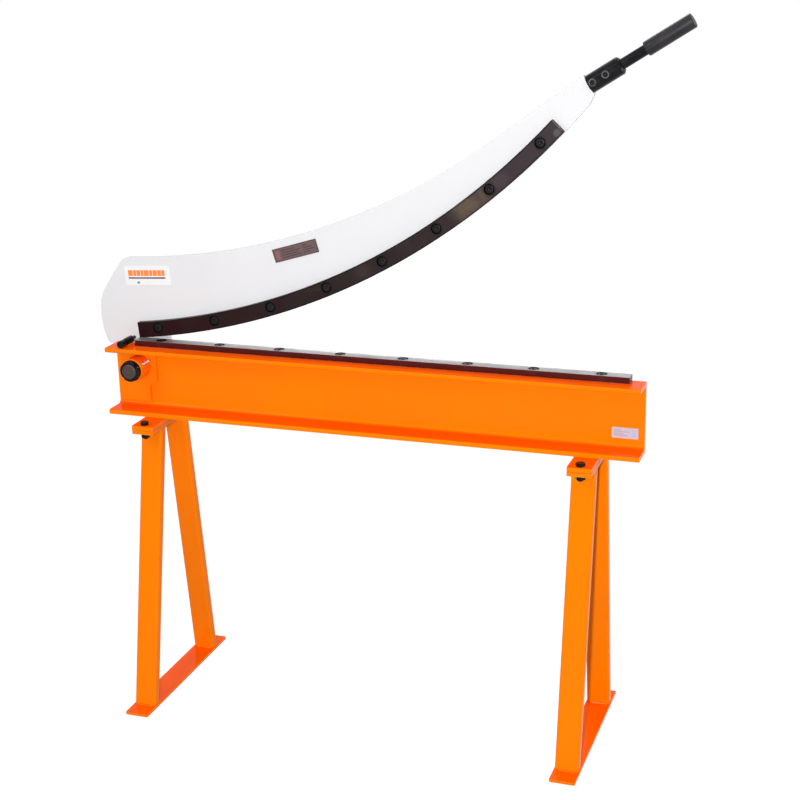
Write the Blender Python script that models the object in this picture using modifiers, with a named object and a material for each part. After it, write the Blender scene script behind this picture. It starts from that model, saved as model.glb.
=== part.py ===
# Guillotine shear on two A-frame stands: a channel beam with a fixed lower blade, and a curved
# upper blade on an arm that swings about a pivot at the beam's left end.
# Metres, +Z up, +X along the beam to the handle, +Y away from the user, origin on the floor.

import bpy
import bmesh
from math import cos, pi, radians, sin, sqrt, tan
from mathutils import Matrix, Vector

# Clearances and facets
FIT_GAP = 0.0003
CUT_OVERRUN = 0.002
ROUND_SIDES = 32
SMALL_SIDES = 16
CORNER_STEPS = 4
SMOOTH_ANGLE = radians(35)

# Beam, a rolled channel that is open to the front
BEAM_HEIGHT = 0.140
FLANGE_WIDTH = 0.056
FLANGE_THICKNESS = 0.0095
WEB_THICKNESS = 0.007
BEAM_FILLET = 0.009
FLANGE_TOE_RADIUS = 0.003
BEAM_END_MARGIN = 0.027
BEAM_LEFT_X = -0.565
BEAM_FRONT_Y = -0.0215

# Stands
STAND_HEIGHT = 0.5834
STAND_LEFT_INSET = 0.105
STAND_RIGHT_INSET = 0.100
PLATE_LENGTH = 0.200
PLATE_WIDTH = 0.047
PLATE_THICKNESS = 0.0086
PLATE_FRONT_REACH = 0.059
PLATE_CORNER = 0.003
FOOT_LENGTH = 0.380
FOOT_WIDTH = 0.050
FOOT_THICKNESS = 0.006
LEG_WIDTH = 0.047
LEG_DEPTH = 0.021
LEG_WALL = 0.002
LEG_CORNER = 0.0035
LEG_TOP_INSET = 0.0395
FRONT_LEG_FOOT_INSET = 0.038
REAR_LEG_FOOT_INSET = 0.0415
BOLT_END_DISTANCE = 0.013
BOLT_DIAMETER = 0.010
BOLT_FLATS_SHARE = 1.6
BOLT_HEAD_HEIGHT = 0.0064
BOLT_NUT_HEIGHT = 0.0084
BOLT_TAIL = 0.003

# Blades and their screws
SHEAR_CLEARANCE = 0.0003
UPPER_BLADE_LENGTH = 1.000
UPPER_BLADE_WIDTH = 0.032
UPPER_BLADE_THICKNESS = 0.012
UPPER_SCREW_SHARE = 0.547
LOWER_BLADE_EXCESS = 0.020
LOWER_BLADE_RIM = 0.0025
LOWER_BLADE_THICKNESS = 0.012
LOWER_BLADE_INSET = 0.053
CUTTING_EDGE_RADIUS = 1.4247
CUTTING_EDGE_LOW_X = -0.1592
CUTTING_EDGE_LOW_Z = 0.0464
UPPER_BLADE_START_ANGLE = radians(6.2)
ARC_STEPS = 32
SCREW_COUNT = 8
SCREW_END_MARGIN = 0.045
SCREW_DIAMETER = 0.010
SCREW_LENGTH = 0.016
SCREW_HEAD_DIAMETER = 0.016
SCREW_HEAD_HEIGHT = 0.007
SCREW_HEAD_CHAMFER = 0.001
SCREW_KEY_WIDTH = 0.008
SCREW_KEY_DEPTH = 0.004
COUNTERBORE_MARGIN = 0.002
COUNTERBORE_SINK = 0.001

# Arm plate, measured from the pivot axis
PIVOT_INSET = 0.057
PIVOT_DROP = 0.044
CLOSING_ANGLE = radians(27.5)
ARM_THICKNESS = 0.012
ARM_HEAD_REACH = 0.0976
ARM_BACK_RADIUS = 1.397
ARM_BACK_HEIGHT = 0.2192
ARM_BACK_DROP = radians(14.4)
ARM_EDGE_SETBACK = 0.0105
ARM_TONGUE_WALL = 0.0354
ARM_TOE_OVERHANG = 0.064
ARM_END_WIDTH = 0.039
HEAD_CORNER_SHARES = ((-0.392, 1.000, 0.297), (-1.000, 0.613, 0.820), (-1.000, 0.348, 1.025),
                      (-0.881, 0.165, 0.102))
TONGUE_TOP_SHARE = 0.137
TONGUE_NECK_RADIUS = 0.008
THROAT_RADIUS = 0.018

# Pivot
SHAFT_DIAMETER = 0.030
SHAFT_TAIL = 0.0017
SHAFT_HEAD_LIP = 0.008
SHAFT_HEAD_HEIGHT = 0.008
SHAFT_CHAMFER = 0.001
BOSS_WALL = 0.009
BOSS_LENGTH = 0.040
DOUBLER_THICKNESS = 0.006
DOUBLER_LEFT_INSET = 0.0035
DOUBLER_RIGHT_REACH = 0.035
DOUBLER_LOWER_REACH = 0.018
DOUBLER_SHOULDER_DROP = 0.032
DOUBLER_SHOULDER_HEIGHT = 0.010
WASHER_THICKNESS = 0.0025
WASHER_WALL = 0.007
NUT_WALL = 0.006
NUT_THICKNESS = 0.008
NUT_CHAMFER = 0.0012
NUT_SLOT_COUNT = 4
NUT_SLOT_WIDTH = 0.005
NUT_SLOT_DEPTH = 0.0022
SPACER_WALL = 0.020
BUSH_WALL = 0.004

# Lock pin, measured along its axis
LOCK_PIN_INSET = 0.0336
LOCK_GUIDE_DIAMETER = 0.015
LOCK_GUIDE_LENGTH = 0.0253
LOCK_GUIDE_SETBACK = 0.0032
LOCK_KNOB_WALL = 0.0012
LOCK_NECK_LENGTH = 0.0105
LOCK_PIN_DIAMETER = 0.007
LOCK_PIN_CHAMFER = 0.001
LOCK_KNOB_LENGTH = 0.0135
LOCK_KNOB_FLOOR = 0.003
LOCK_TIP_CLEARANCE = 0.0006

# Handle, measured along its own axis from the arm's end, which is placed from the arm's toe
HANDLE_LEAD = 0.0266
HANDLE_RISE = 0.0240
HANDLE_DROP = radians(17.5)
TONGUE_WIDTH = 0.022
TONGUE_LENGTH = 0.024
SOCKET_WALL = 0.0072
SOCKET_WEB = 0.006
SOCKET_CHAMFER = 0.004
SOCKET_BORE_DEPTH = 0.038
ROD_DIAMETER = 0.0195
ROD_FREE_LENGTH = 0.050
GRIP_WALL = 0.004
GRIP_LENGTH = 0.095
GRIP_FLOOR = 0.015
GRIP_ROUNDING = 0.0015
SET_SCREW_SHARES = (0.417, 0.176)
SET_SCREW_DIAMETER = 0.008
SET_SCREW_RECESS = 0.001
SET_SCREW_KEY_WIDTH = 0.004
SET_SCREW_KEY_DEPTH = 0.003

# Labels: centre from the pivot, the cutting edge or the beam's lower right corner, then the size
LABEL_THICKNESS = 0.0005
STICKER_CENTER = (0.0164, 0.1838)
STICKER_SIZE = (0.103, 0.040)
STICKER_TILT = radians(3.2)
RATING_PLATE_ANGLE = radians(22.44)
RATING_PLATE_SETBACK = 0.1054
RATING_PLATE_SIZE = (0.097, 0.027)
RATING_PLATE_TILT = radians(16.3)
BEAM_LABEL_INSET = 0.037
BEAM_LABEL_RISE = 0.0385
BEAM_LABEL_SIZE = (0.050, 0.021)

# Colours, roughness and metallic value of each finish
ORANGE_PAINT = ((0.90, 0.17, 0.004, 1), 0.30, 0)
GREY_PAINT = ((0.80, 0.80, 0.83, 1), 0.40, 0)
BLADE_STEEL = ((0.12, 0.075, 0.075, 1), 0.35, 1)
GROUND_STEEL = ((0.42, 0.40, 0.41, 1), 0.30, 1)
BLACK_STEEL = ((0.012, 0.012, 0.014, 1), 0.35, 1)
BRONZE = ((0.55, 0.33, 0.12, 1), 0.35, 1)
BLACK_GRIP = ((0.015, 0.014, 0.017, 1), 0.45, 0)
WHITE_LABEL = ((0.90, 0.90, 0.90, 1), 0.50, 0)
BROWN_LABEL = ((0.16, 0.11, 0.10, 1), 0.45, 0)

# Sizes and places that follow from the sizes above
LOWER_BLADE_LENGTH = UPPER_BLADE_LENGTH + LOWER_BLADE_EXCESS
BEAM_LENGTH = LOWER_BLADE_INSET + LOWER_BLADE_LENGTH + BEAM_END_MARGIN
SCREW_PITCH = (UPPER_BLADE_LENGTH - 2 * SCREW_END_MARGIN) / (SCREW_COUNT - 1)
COUNTERBORE_DIAMETER = SCREW_HEAD_DIAMETER + 2 * COUNTERBORE_MARGIN
COUNTERBORE_DEPTH = SCREW_HEAD_HEIGHT + COUNTERBORE_SINK
LOWER_BLADE_WIDTH = COUNTERBORE_DIAMETER + 2 * LOWER_BLADE_RIM
BUSH_HOLE_RADIUS = SHAFT_DIAMETER / 2 + BUSH_WALL + 2 * FIT_GAP
ARM_TONGUE_RADIUS = BUSH_HOLE_RADIUS + ARM_TONGUE_WALL
BEAM_TOP_Z = STAND_HEIGHT + FIT_GAP + PLATE_THICKNESS + FIT_GAP + BEAM_HEIGHT
BEAM_BOTTOM_Z = BEAM_TOP_Z - BEAM_HEIGHT
BEAM_RIGHT_X = BEAM_LEFT_X + BEAM_LENGTH
SHEAR_PLANE_Y = BEAM_FRONT_Y + FLANGE_WIDTH
WEB_FRONT_Y = SHEAR_PLANE_Y - WEB_THICKNESS
PIVOT_X = BEAM_LEFT_X + PIVOT_INSET
PIVOT_Z = BEAM_TOP_Z - PIVOT_DROP
ARM_FRONT_Y = SHEAR_PLANE_Y + SHEAR_CLEARANCE + UPPER_BLADE_THICKNESS + FIT_GAP
ARM_MIDDLE_Y = ARM_FRONT_Y + ARM_THICKNESS / 2
ARM_REAR_Y = ARM_FRONT_Y + ARM_THICKNESS
PLATE_FRONT_Y = BEAM_FRONT_Y - PLATE_FRONT_REACH
PLATE_REAR_Y = PLATE_FRONT_Y + PLATE_LENGTH
STAND_CENTERS_X = (BEAM_LEFT_X + STAND_LEFT_INSET, BEAM_RIGHT_X - STAND_RIGHT_INSET)
BOLT_PLACES_Y = (PLATE_FRONT_Y + BOLT_END_DISTANCE, PLATE_REAR_Y - BOLT_END_DISTANCE)
ARC_CENTER_Z = CUTTING_EDGE_LOW_Z + CUTTING_EDGE_RADIUS
UPPER_SCREW_RADIUS = CUTTING_EDGE_RADIUS - UPPER_SCREW_SHARE * UPPER_BLADE_WIDTH
UPPER_BLADE_SPAN = UPPER_BLADE_LENGTH / UPPER_SCREW_RADIUS
UPPER_BLADE_END_ANGLE = UPPER_BLADE_START_ANGLE + UPPER_BLADE_SPAN
LOCK_AXIS_X = BEAM_LEFT_X + LOCK_PIN_INSET
LOCK_AXIS_Z = BEAM_TOP_Z + FIT_GAP + LOCK_GUIDE_DIAMETER / 2
TOE_ANGLE = UPPER_BLADE_END_ANGLE + ARM_TOE_OVERHANG / CUTTING_EDGE_RADIUS
ARM_BACK_HEADING = TOE_ANGLE - ARM_BACK_DROP
HANDLE_HEADING = TOE_ANGLE - HANDLE_DROP
HANDLE_DIRECTION = Vector((cos(HANDLE_HEADING), sin(HANDLE_HEADING)))
HANDLE_NORMAL = Vector((-sin(HANDLE_HEADING), cos(HANDLE_HEADING)))

# Turns from a piece's own axes to the part's
TO_FRONT = Matrix.Rotation(pi / 2, 4, 'X')
TO_REAR = Matrix.Rotation(-pi / 2, 4, 'X')
ALONG_BEAM = Matrix(((0, 0, 1, 0), (1, 0, 0, 0), (0, 1, 0, 0), (0, 0, 0, 1)))
ALONG_HANDLE = Matrix.Rotation(pi / 2 - HANDLE_HEADING, 4, 'Y')


def clear_scene():
    for item in list(bpy.data.objects):
        bpy.data.objects.remove(item, do_unlink=True)


def new_collection(name):
    collection = bpy.data.collections.new(name)
    bpy.context.scene.collection.children.link(collection)
    return collection


def link(name, mesh, collection, place=Matrix.Identity(4), parent=None):
    item = bpy.data.objects.new(name, mesh)
    item.parent = parent
    item.matrix_basis = place
    collection.objects.link(item)
    return item


def evaluated_mesh(item):
    bpy.context.view_layer.update()
    graph = bpy.context.evaluated_depsgraph_get()
    return bpy.data.meshes.new_from_object(item.evaluated_get(graph), depsgraph=graph)


def weld(mesh):
    work = bmesh.new()
    work.from_mesh(mesh)
    bmesh.ops.remove_doubles(work, verts=work.verts, dist=CUT_OVERRUN / 100)
    bmesh.ops.recalc_face_normals(work, faces=work.faces)
    work.to_mesh(mesh)
    work.free()


def shade(mesh):
    mesh.shade_smooth()
    mesh.set_sharp_from_angle(angle=SMOOTH_ANGLE)


# Shapes: each returns a mesh about its own origin

def flat_shape(loops, thickness):
    curve = bpy.data.curves.new('outline', 'CURVE')
    curve.dimensions = '2D'
    curve.fill_mode = 'BOTH'
    curve.extrude = thickness / 2
    for loop in loops:
        spline = curve.splines.new('POLY')
        spline.points.add(len(loop) - 1)
        for point, place in zip(spline.points, loop):
            point.co = (place[0], place[1], 0, 1)
        spline.use_cyclic_u = True
    item = link('outline', curve, bpy.context.scene.collection)
    mesh = evaluated_mesh(item)
    bpy.data.objects.remove(item, do_unlink=True)
    weld(mesh)
    shade(mesh)
    return mesh


def turned_shape(profile, sides=ROUND_SIDES, closed=False):
    count = len(profile)
    edges = [(index, index + 1) for index in range(count - 1)]
    if closed:
        edges.append((count - 1, 0))
    base = bpy.data.meshes.new('profile')
    base.from_pydata([(radius, 0, height) for radius, height in profile], edges, [])
    item = link('profile', base, bpy.context.scene.collection)
    screw = item.modifiers.new('turn', 'SCREW')
    screw.angle = 2 * pi
    screw.steps = sides
    screw.render_steps = sides
    screw.use_merge_vertices = True
    screw.merge_threshold = FIT_GAP / 10
    mesh = evaluated_mesh(item)
    bpy.data.objects.remove(item, do_unlink=True)
    shade(mesh)
    return mesh


def ring_shape(outer_radius, bore_radius, length, sides=ROUND_SIDES):
    profile = ((outer_radius, length), (outer_radius, 0), (bore_radius, 0), (bore_radius, length))
    return turned_shape(profile, sides, closed=True)


def prism_shape(sides, radius, length, turn=0):
    work = bmesh.new()
    lift = Matrix.Translation((0, 0, length / 2)) @ Matrix.Rotation(turn, 4, 'Z')
    bmesh.ops.create_cone(work, cap_ends=True, segments=sides, radius1=radius, radius2=radius,
                          depth=length, matrix=lift)
    mesh = bpy.data.meshes.new('prism')
    work.to_mesh(mesh)
    work.free()
    return mesh


def hex_shape(across_flats, length):
    return prism_shape(6, across_flats / 2 / cos(pi / 6), length)


def box_shape(size):
    work = bmesh.new()
    bmesh.ops.create_cube(work, size=1, matrix=Matrix.Diagonal((*size, 1)))
    mesh = bpy.data.meshes.new('box')
    work.to_mesh(mesh)
    work.free()
    return mesh


# Outlines

def circle(center, radius, sides=SMALL_SIDES):
    angles = [2 * pi * index / sides for index in range(sides)]
    return [(center[0] + radius * cos(angle), center[1] + radius * sin(angle)) for angle in angles]


def rounded(corners):
    outline = []
    count = len(corners)
    for index, (x, y, radius) in enumerate(corners):
        corner = Vector((x, y))
        if radius == 0:
            outline.append(corner)
            continue
        before = (Vector(corners[index - 1][:2]) - corner).normalized()
        after = (Vector(corners[(index + 1) % count][:2]) - corner).normalized()
        half = before.angle(after) / 2
        center = corner + (before + after).normalized() * radius / sin(half)
        start = corner + before * radius / tan(half) - center
        sweep = start.angle_signed(corner + after * radius / tan(half) - center)
        steps = max(2, round(abs(sweep) / (pi / 2) * 2 * CORNER_STEPS))
        for step in range(steps + 1):
            turn = Matrix.Rotation(-sweep * step / steps, 2)
            outline.append(center + turn @ start)
    return outline


def on_blade_arc(radius, angle):
    return Vector((CUTTING_EDGE_LOW_X + radius * sin(angle), ARC_CENTER_Z - radius * cos(angle)))


def handle_start():
    toe = on_blade_arc(CUTTING_EDGE_RADIUS, TOE_ANGLE)
    lead = HANDLE_LEAD * Vector((cos(TOE_ANGLE), sin(TOE_ANGLE)))
    return toe + lead + HANDLE_RISE * Vector((-sin(TOE_ANGLE), cos(TOE_ANGLE)))


def blade_arc(radius, start, end):
    return [on_blade_arc(radius, start + (end - start) * step / ARC_STEPS)
            for step in range(ARC_STEPS + 1)]


def rounded_rectangle(width, height, corner):
    half_width, half_height = width / 2, height / 2
    return rounded(((-half_width, -half_height, corner), (half_width, -half_height, corner),
                    (half_width, half_height, corner), (-half_width, half_height, corner)))


# Pieces

def add_part(name, mesh, finish, place=Matrix.Identity(4), parent=None):
    color, roughness, metallic = finish
    material = bpy.data.materials.new(name)
    material.use_nodes = True
    shader = material.node_tree.nodes['Principled BSDF']
    shader.inputs['Base Color'].default_value = color
    shader.inputs['Roughness'].default_value = roughness
    shader.inputs['Metallic'].default_value = metallic
    material.diffuse_color = color
    mesh.materials.clear()
    mesh.materials.append(material)
    mesh.name = name
    return link(name, mesh, PARTS, place, parent)


def cut(target, mesh, place):
    cutter = link(target.name + '_cutter', mesh, CUTTERS, place, target.parent)
    cutter.hide_render = True
    cutter.display_type = 'WIRE'
    modifier = target.modifiers.new('cut', 'BOOLEAN')
    modifier.operation = 'DIFFERENCE'
    modifier.object = cutter


def combined(name, mesh, operation, other_mesh, place=Matrix.Identity(4)):
    base = link(name, mesh, bpy.context.scene.collection)
    tool = link(name + '_tool', other_mesh, bpy.context.scene.collection, place)
    modifier = base.modifiers.new('combine', 'BOOLEAN')
    modifier.operation = operation
    modifier.object = tool
    result = evaluated_mesh(base)
    for item in (base, tool):
        bpy.data.objects.remove(item, do_unlink=True)
    shade(result)
    return result


def at(x, y, z):
    return Matrix.Translation((x, y, z))


def counterbore_shape():
    # The wide step starts at height 0 and opens upwards; the screw's hole goes on down
    hole_radius = SCREW_DIAMETER / 2 + FIT_GAP
    bore_radius = COUNTERBORE_DIAMETER / 2
    top = COUNTERBORE_DEPTH + CUT_OVERRUN
    bottom = -(UPPER_BLADE_THICKNESS + LOWER_BLADE_THICKNESS)
    profile = ((0, top), (bore_radius, top), (bore_radius, 0), (hole_radius, 0),
               (hole_radius, bottom), (0, bottom))
    return turned_shape(profile, SMALL_SIDES)


def blade_screw_shape():
    # Height 0 is the underside of the head
    head_radius = SCREW_HEAD_DIAMETER / 2
    profile = ((0, SCREW_HEAD_HEIGHT), (head_radius - SCREW_HEAD_CHAMFER, SCREW_HEAD_HEIGHT),
               (head_radius, SCREW_HEAD_HEIGHT - SCREW_HEAD_CHAMFER), (head_radius, 0),
               (SCREW_DIAMETER / 2, 0), (SCREW_DIAMETER / 2, -SCREW_LENGTH), (0, -SCREW_LENGTH))
    key = hex_shape(SCREW_KEY_WIDTH, SCREW_KEY_DEPTH + CUT_OVERRUN)
    key_place = at(0, 0, SCREW_HEAD_HEIGHT - SCREW_KEY_DEPTH)
    return combined('screw', turned_shape(profile, SMALL_SIDES), 'DIFFERENCE', key, key_place)


def make_beam():
    web_inner = FLANGE_WIDTH - WEB_THICKNESS
    lower_inner = FLANGE_THICKNESS
    upper_inner = BEAM_HEIGHT - FLANGE_THICKNESS
    section = rounded(((0, 0, 0), (FLANGE_WIDTH, 0, 0), (FLANGE_WIDTH, BEAM_HEIGHT, 0),
                       (0, BEAM_HEIGHT, 0), (0, upper_inner, FLANGE_TOE_RADIUS),
                       (web_inner, upper_inner, BEAM_FILLET), (web_inner, lower_inner, BEAM_FILLET),
                       (0, lower_inner, FLANGE_TOE_RADIUS)))
    place = at(BEAM_LEFT_X + BEAM_LENGTH / 2, BEAM_FRONT_Y, BEAM_BOTTOM_Z) @ ALONG_BEAM
    beam = add_part('beam', flat_shape([section], BEAM_LENGTH), ORANGE_PAINT, place)
    shaft_hole = prism_shape(ROUND_SIDES, SHAFT_DIAMETER / 2 + FIT_GAP, WEB_THICKNESS + 2 * CUT_OVERRUN)
    cut(beam, shaft_hole, at(PIVOT_X, WEB_FRONT_Y - CUT_OVERRUN, PIVOT_Z) @ TO_REAR)
    hole_depth = FLANGE_THICKNESS + BEAM_FILLET
    for x in lower_screw_places():
        hole = prism_shape(SMALL_SIDES, SCREW_DIAMETER / 2 + FIT_GAP, hole_depth + CUT_OVERRUN)
        cut(beam, hole, at(x, lower_screw_y(), BEAM_TOP_Z - hole_depth))


def lower_screw_y():
    return SHEAR_PLANE_Y - LOWER_BLADE_WIDTH / 2


def lower_screw_places():
    margin = (LOWER_BLADE_LENGTH - (SCREW_COUNT - 1) * SCREW_PITCH) / 2
    first = BEAM_LEFT_X + LOWER_BLADE_INSET + margin
    return [first + index * SCREW_PITCH for index in range(SCREW_COUNT)]


def make_lower_blade():
    bottom = BEAM_TOP_Z + FIT_GAP
    place = at(BEAM_LEFT_X + LOWER_BLADE_INSET + LOWER_BLADE_LENGTH / 2, lower_screw_y(),
               bottom + LOWER_BLADE_THICKNESS / 2)
    blade_mesh = box_shape((LOWER_BLADE_LENGTH, LOWER_BLADE_WIDTH, LOWER_BLADE_THICKNESS))
    blade = add_part('lower_blade', blade_mesh, GROUND_STEEL, place)
    seat = bottom + LOWER_BLADE_THICKNESS - COUNTERBORE_DEPTH
    screw = blade_screw_shape()
    for index, x in enumerate(lower_screw_places()):
        cut(blade, counterbore_shape(), at(x, lower_screw_y(), seat))
        add_part('lower_blade_screw_%d' % (index + 1), screw.copy(), BLACK_STEEL,
                 at(x, lower_screw_y(), seat + FIT_GAP))


def upper_screw_places():
    margin = (UPPER_BLADE_LENGTH - (SCREW_COUNT - 1) * SCREW_PITCH) / 2
    angles = [UPPER_BLADE_START_ANGLE + (margin + index * SCREW_PITCH) / UPPER_SCREW_RADIUS
              for index in range(SCREW_COUNT)]
    return [on_blade_arc(UPPER_SCREW_RADIUS, angle) for angle in angles]


def make_upper_blade(arm_axis):
    front = SHEAR_PLANE_Y + SHEAR_CLEARANCE - ARM_MIDDLE_Y
    ends = UPPER_BLADE_START_ANGLE, UPPER_BLADE_END_ANGLE
    outline = blade_arc(CUTTING_EDGE_RADIUS, *ends)
    outline += reversed(blade_arc(CUTTING_EDGE_RADIUS - UPPER_BLADE_WIDTH, *ends))
    blade = add_part('upper_blade', flat_shape([outline], UPPER_BLADE_THICKNESS), BLADE_STEEL,
                     at(0, front + UPPER_BLADE_THICKNESS / 2, 0) @ TO_FRONT, arm_axis)
    seat = front + COUNTERBORE_DEPTH
    screw = blade_screw_shape()
    for index, (x, z) in enumerate(upper_screw_places()):
        cut(blade, counterbore_shape(), at(x, seat, z) @ TO_FRONT)
        add_part('upper_blade_screw_%d' % (index + 1), screw.copy(), BLACK_STEEL,
                 at(x, seat - FIT_GAP, z) @ TO_FRONT, arm_axis)


def arm_back_edge():
    # From the handle's end back along a straight stretch, then round the long arc, which is level
    # at the back's height, to the head
    end = handle_start() + HANDLE_NORMAL * ARM_END_WIDTH / 2
    level_x = end.x - (end.y - ARM_BACK_HEIGHT) / tan(ARM_BACK_HEADING)
    center = Vector((level_x - ARM_BACK_RADIUS * tan(ARM_BACK_HEADING / 2),
                     ARM_BACK_HEIGHT + ARM_BACK_RADIUS))
    head_x = HEAD_CORNER_SHARES[0][0] * ARM_HEAD_REACH
    head_z = center.y - sqrt(ARM_BACK_RADIUS ** 2 - (head_x - center.x) ** 2)
    edge = [end]
    for step in range(ARC_STEPS):
        angle = ARM_BACK_HEADING * (1 - step / ARC_STEPS)
        point = center + ARM_BACK_RADIUS * Vector((sin(angle), -cos(angle)))
        if point.x > head_x + HEAD_CORNER_SHARES[0][2] * ARM_HEAD_REACH:
            edge.append(point)
    return edge, head_z


def make_arm(arm_axis):
    edge_radius = CUTTING_EDGE_RADIUS - ARM_EDGE_SETBACK
    back_edge, head_height = arm_back_edge()
    head = [(x * ARM_HEAD_REACH, z * head_height, radius * ARM_HEAD_REACH)
            for x, z, radius in HEAD_CORNER_SHARES]
    throat_reach = ARM_TONGUE_RADIUS - CUTTING_EDGE_LOW_X
    throat_z = ARC_CENTER_Z - sqrt(edge_radius ** 2 - throat_reach ** 2)
    tongue = [(-ARM_TONGUE_RADIUS, TONGUE_TOP_SHARE * head_height, TONGUE_NECK_RADIUS),
              (-ARM_TONGUE_RADIUS, -ARM_TONGUE_RADIUS, ARM_TONGUE_RADIUS),
              (ARM_TONGUE_RADIUS, -ARM_TONGUE_RADIUS, ARM_TONGUE_RADIUS),
              (ARM_TONGUE_RADIUS, throat_z, THROAT_RADIUS)]
    edge_start = (throat_reach + THROAT_RADIUS * 2) / edge_radius
    blade_edge = blade_arc(edge_radius, edge_start, UPPER_BLADE_END_ANGLE)
    step_out = on_blade_arc(CUTTING_EDGE_RADIUS, UPPER_BLADE_END_ANGLE)
    toe = on_blade_arc(CUTTING_EDGE_RADIUS, TOE_ANGLE)
    half_tongue = HANDLE_NORMAL * TONGUE_WIDTH / 2
    start = handle_start()
    tongue_end = start + HANDLE_DIRECTION * TONGUE_LENGTH
    end = [start - HANDLE_NORMAL * ARM_END_WIDTH / 2, start - half_tongue,
           tongue_end - half_tongue, tongue_end + half_tongue, start + half_tongue]
    plain = [(point.x, point.y, 0) for point in blade_edge + [step_out, toe] + end + back_edge]
    outline = rounded(head + tongue + plain)

    lock_local = Vector((LOCK_AXIS_X - PIVOT_X, LOCK_AXIS_Z - PIVOT_Z))
    lock_closed = Matrix.Rotation(CLOSING_ANGLE, 2) @ lock_local
    lock_radius = LOCK_PIN_DIAMETER / 2 + FIT_GAP
    holes = [circle((0, 0), BUSH_HOLE_RADIUS, ROUND_SIDES),
             circle(lock_local, lock_radius), circle(lock_closed, lock_radius)]
    for place in upper_screw_places():
        holes.append(circle(place, SCREW_DIAMETER / 2 + FIT_GAP))
    add_part('blade_arm', flat_shape([outline] + holes, ARM_THICKNESS), GREY_PAINT, TO_FRONT, arm_axis)


def make_pivot(arm_axis):
    shaft_radius = SHAFT_DIAMETER / 2
    bore = shaft_radius + FIT_GAP
    doubler_rear = WEB_FRONT_Y - FIT_GAP
    boss_rear = doubler_rear - DOUBLER_THICKNESS - FIT_GAP
    washer_rear = boss_rear - BOSS_LENGTH - FIT_GAP
    nut_rear = washer_rear - WASHER_THICKNESS - FIT_GAP
    shaft_front = nut_rear - NUT_THICKNESS - SHAFT_TAIL
    rear_washer = ARM_REAR_Y + FIT_GAP
    head_front = rear_washer + WASHER_THICKNESS + FIT_GAP

    top = BEAM_HEIGHT - FLANGE_THICKNESS - BEAM_FILLET
    bottom = FLANGE_THICKNESS + BEAM_FILLET
    shoulder = BEAM_HEIGHT - PIVOT_DROP - DOUBLER_SHOULDER_DROP
    lower_right = PIVOT_INSET + DOUBLER_LOWER_REACH
    upper_right = PIVOT_INSET + DOUBLER_RIGHT_REACH
    left = DOUBLER_LEFT_INSET
    outline = ((left, bottom), (lower_right, bottom), (lower_right, shoulder - DOUBLER_SHOULDER_HEIGHT),
               (upper_right, shoulder), (upper_right, top), (left, top))
    bore_loop = circle((PIVOT_INSET, BEAM_HEIGHT - PIVOT_DROP), bore, ROUND_SIDES)
    add_part('pivot_doubler', flat_shape([outline, bore_loop], DOUBLER_THICKNESS), ORANGE_PAINT,
             at(BEAM_LEFT_X, doubler_rear - DOUBLER_THICKNESS / 2, BEAM_BOTTOM_Z) @ TO_FRONT)

    def pivot_ring(name, wall, length, rear, finish):
        add_part(name, ring_shape(shaft_radius + wall, bore, length), finish,
                 at(PIVOT_X, rear, PIVOT_Z) @ TO_FRONT)

    pivot_ring('pivot_boss', BOSS_WALL, BOSS_LENGTH, boss_rear, ORANGE_PAINT)
    pivot_ring('pivot_front_washer', WASHER_WALL, WASHER_THICKNESS, washer_rear, BLACK_STEEL)
    spacer_length = ARM_FRONT_Y - SHEAR_PLANE_Y - 2 * FIT_GAP
    pivot_ring('pivot_spacer', SPACER_WALL, spacer_length, ARM_FRONT_Y - FIT_GAP, GROUND_STEEL)
    pivot_ring('pivot_rear_washer', WASHER_WALL, WASHER_THICKNESS,
               rear_washer + WASHER_THICKNESS, BLACK_STEEL)

    # The nut is turned about the shaft's axis and slotted for a hook spanner
    nut_radius = shaft_radius + NUT_WALL
    profile = ((nut_radius - NUT_CHAMFER, NUT_THICKNESS), (nut_radius, NUT_THICKNESS - NUT_CHAMFER),
               (nut_radius, 0), (bore, 0), (bore, NUT_THICKNESS))
    nut_place = at(PIVOT_X, nut_rear, PIVOT_Z) @ TO_FRONT
    nut = add_part('pivot_nut', turned_shape(profile, closed=True), BLACK_STEEL, nut_place)
    slot_size = (NUT_SLOT_DEPTH * 2, NUT_SLOT_WIDTH, NUT_THICKNESS + 2 * CUT_OVERRUN)
    for index in range(NUT_SLOT_COUNT):
        turn = Matrix.Rotation(pi / 4 + 2 * pi * index / NUT_SLOT_COUNT, 4, 'Z')
        cut(nut, box_shape(slot_size), nut_place @ turn @ at(nut_radius, 0, NUT_THICKNESS / 2))

    # The shaft's head is behind the arm and its thread comes out through the nut
    head_radius = shaft_radius + SHAFT_HEAD_LIP
    head_height = SHAFT_HEAD_HEIGHT
    tail = -(head_front - shaft_front)
    profile = ((0, head_height), (head_radius - SHAFT_CHAMFER, head_height),
               (head_radius, head_height - SHAFT_CHAMFER), (head_radius, 0), (shaft_radius, 0),
               (shaft_radius, tail + SHAFT_CHAMFER), (shaft_radius - SHAFT_CHAMFER, tail), (0, tail))
    add_part('pivot_shaft', turned_shape(profile), GROUND_STEEL,
             at(PIVOT_X, head_front, PIVOT_Z) @ TO_REAR)

    bush = ring_shape(bore + BUSH_WALL, bore, ARM_THICKNESS)
    add_part('arm_bush', bush, BRONZE, at(0, -ARM_THICKNESS / 2, 0) @ TO_REAR, arm_axis)


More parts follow.
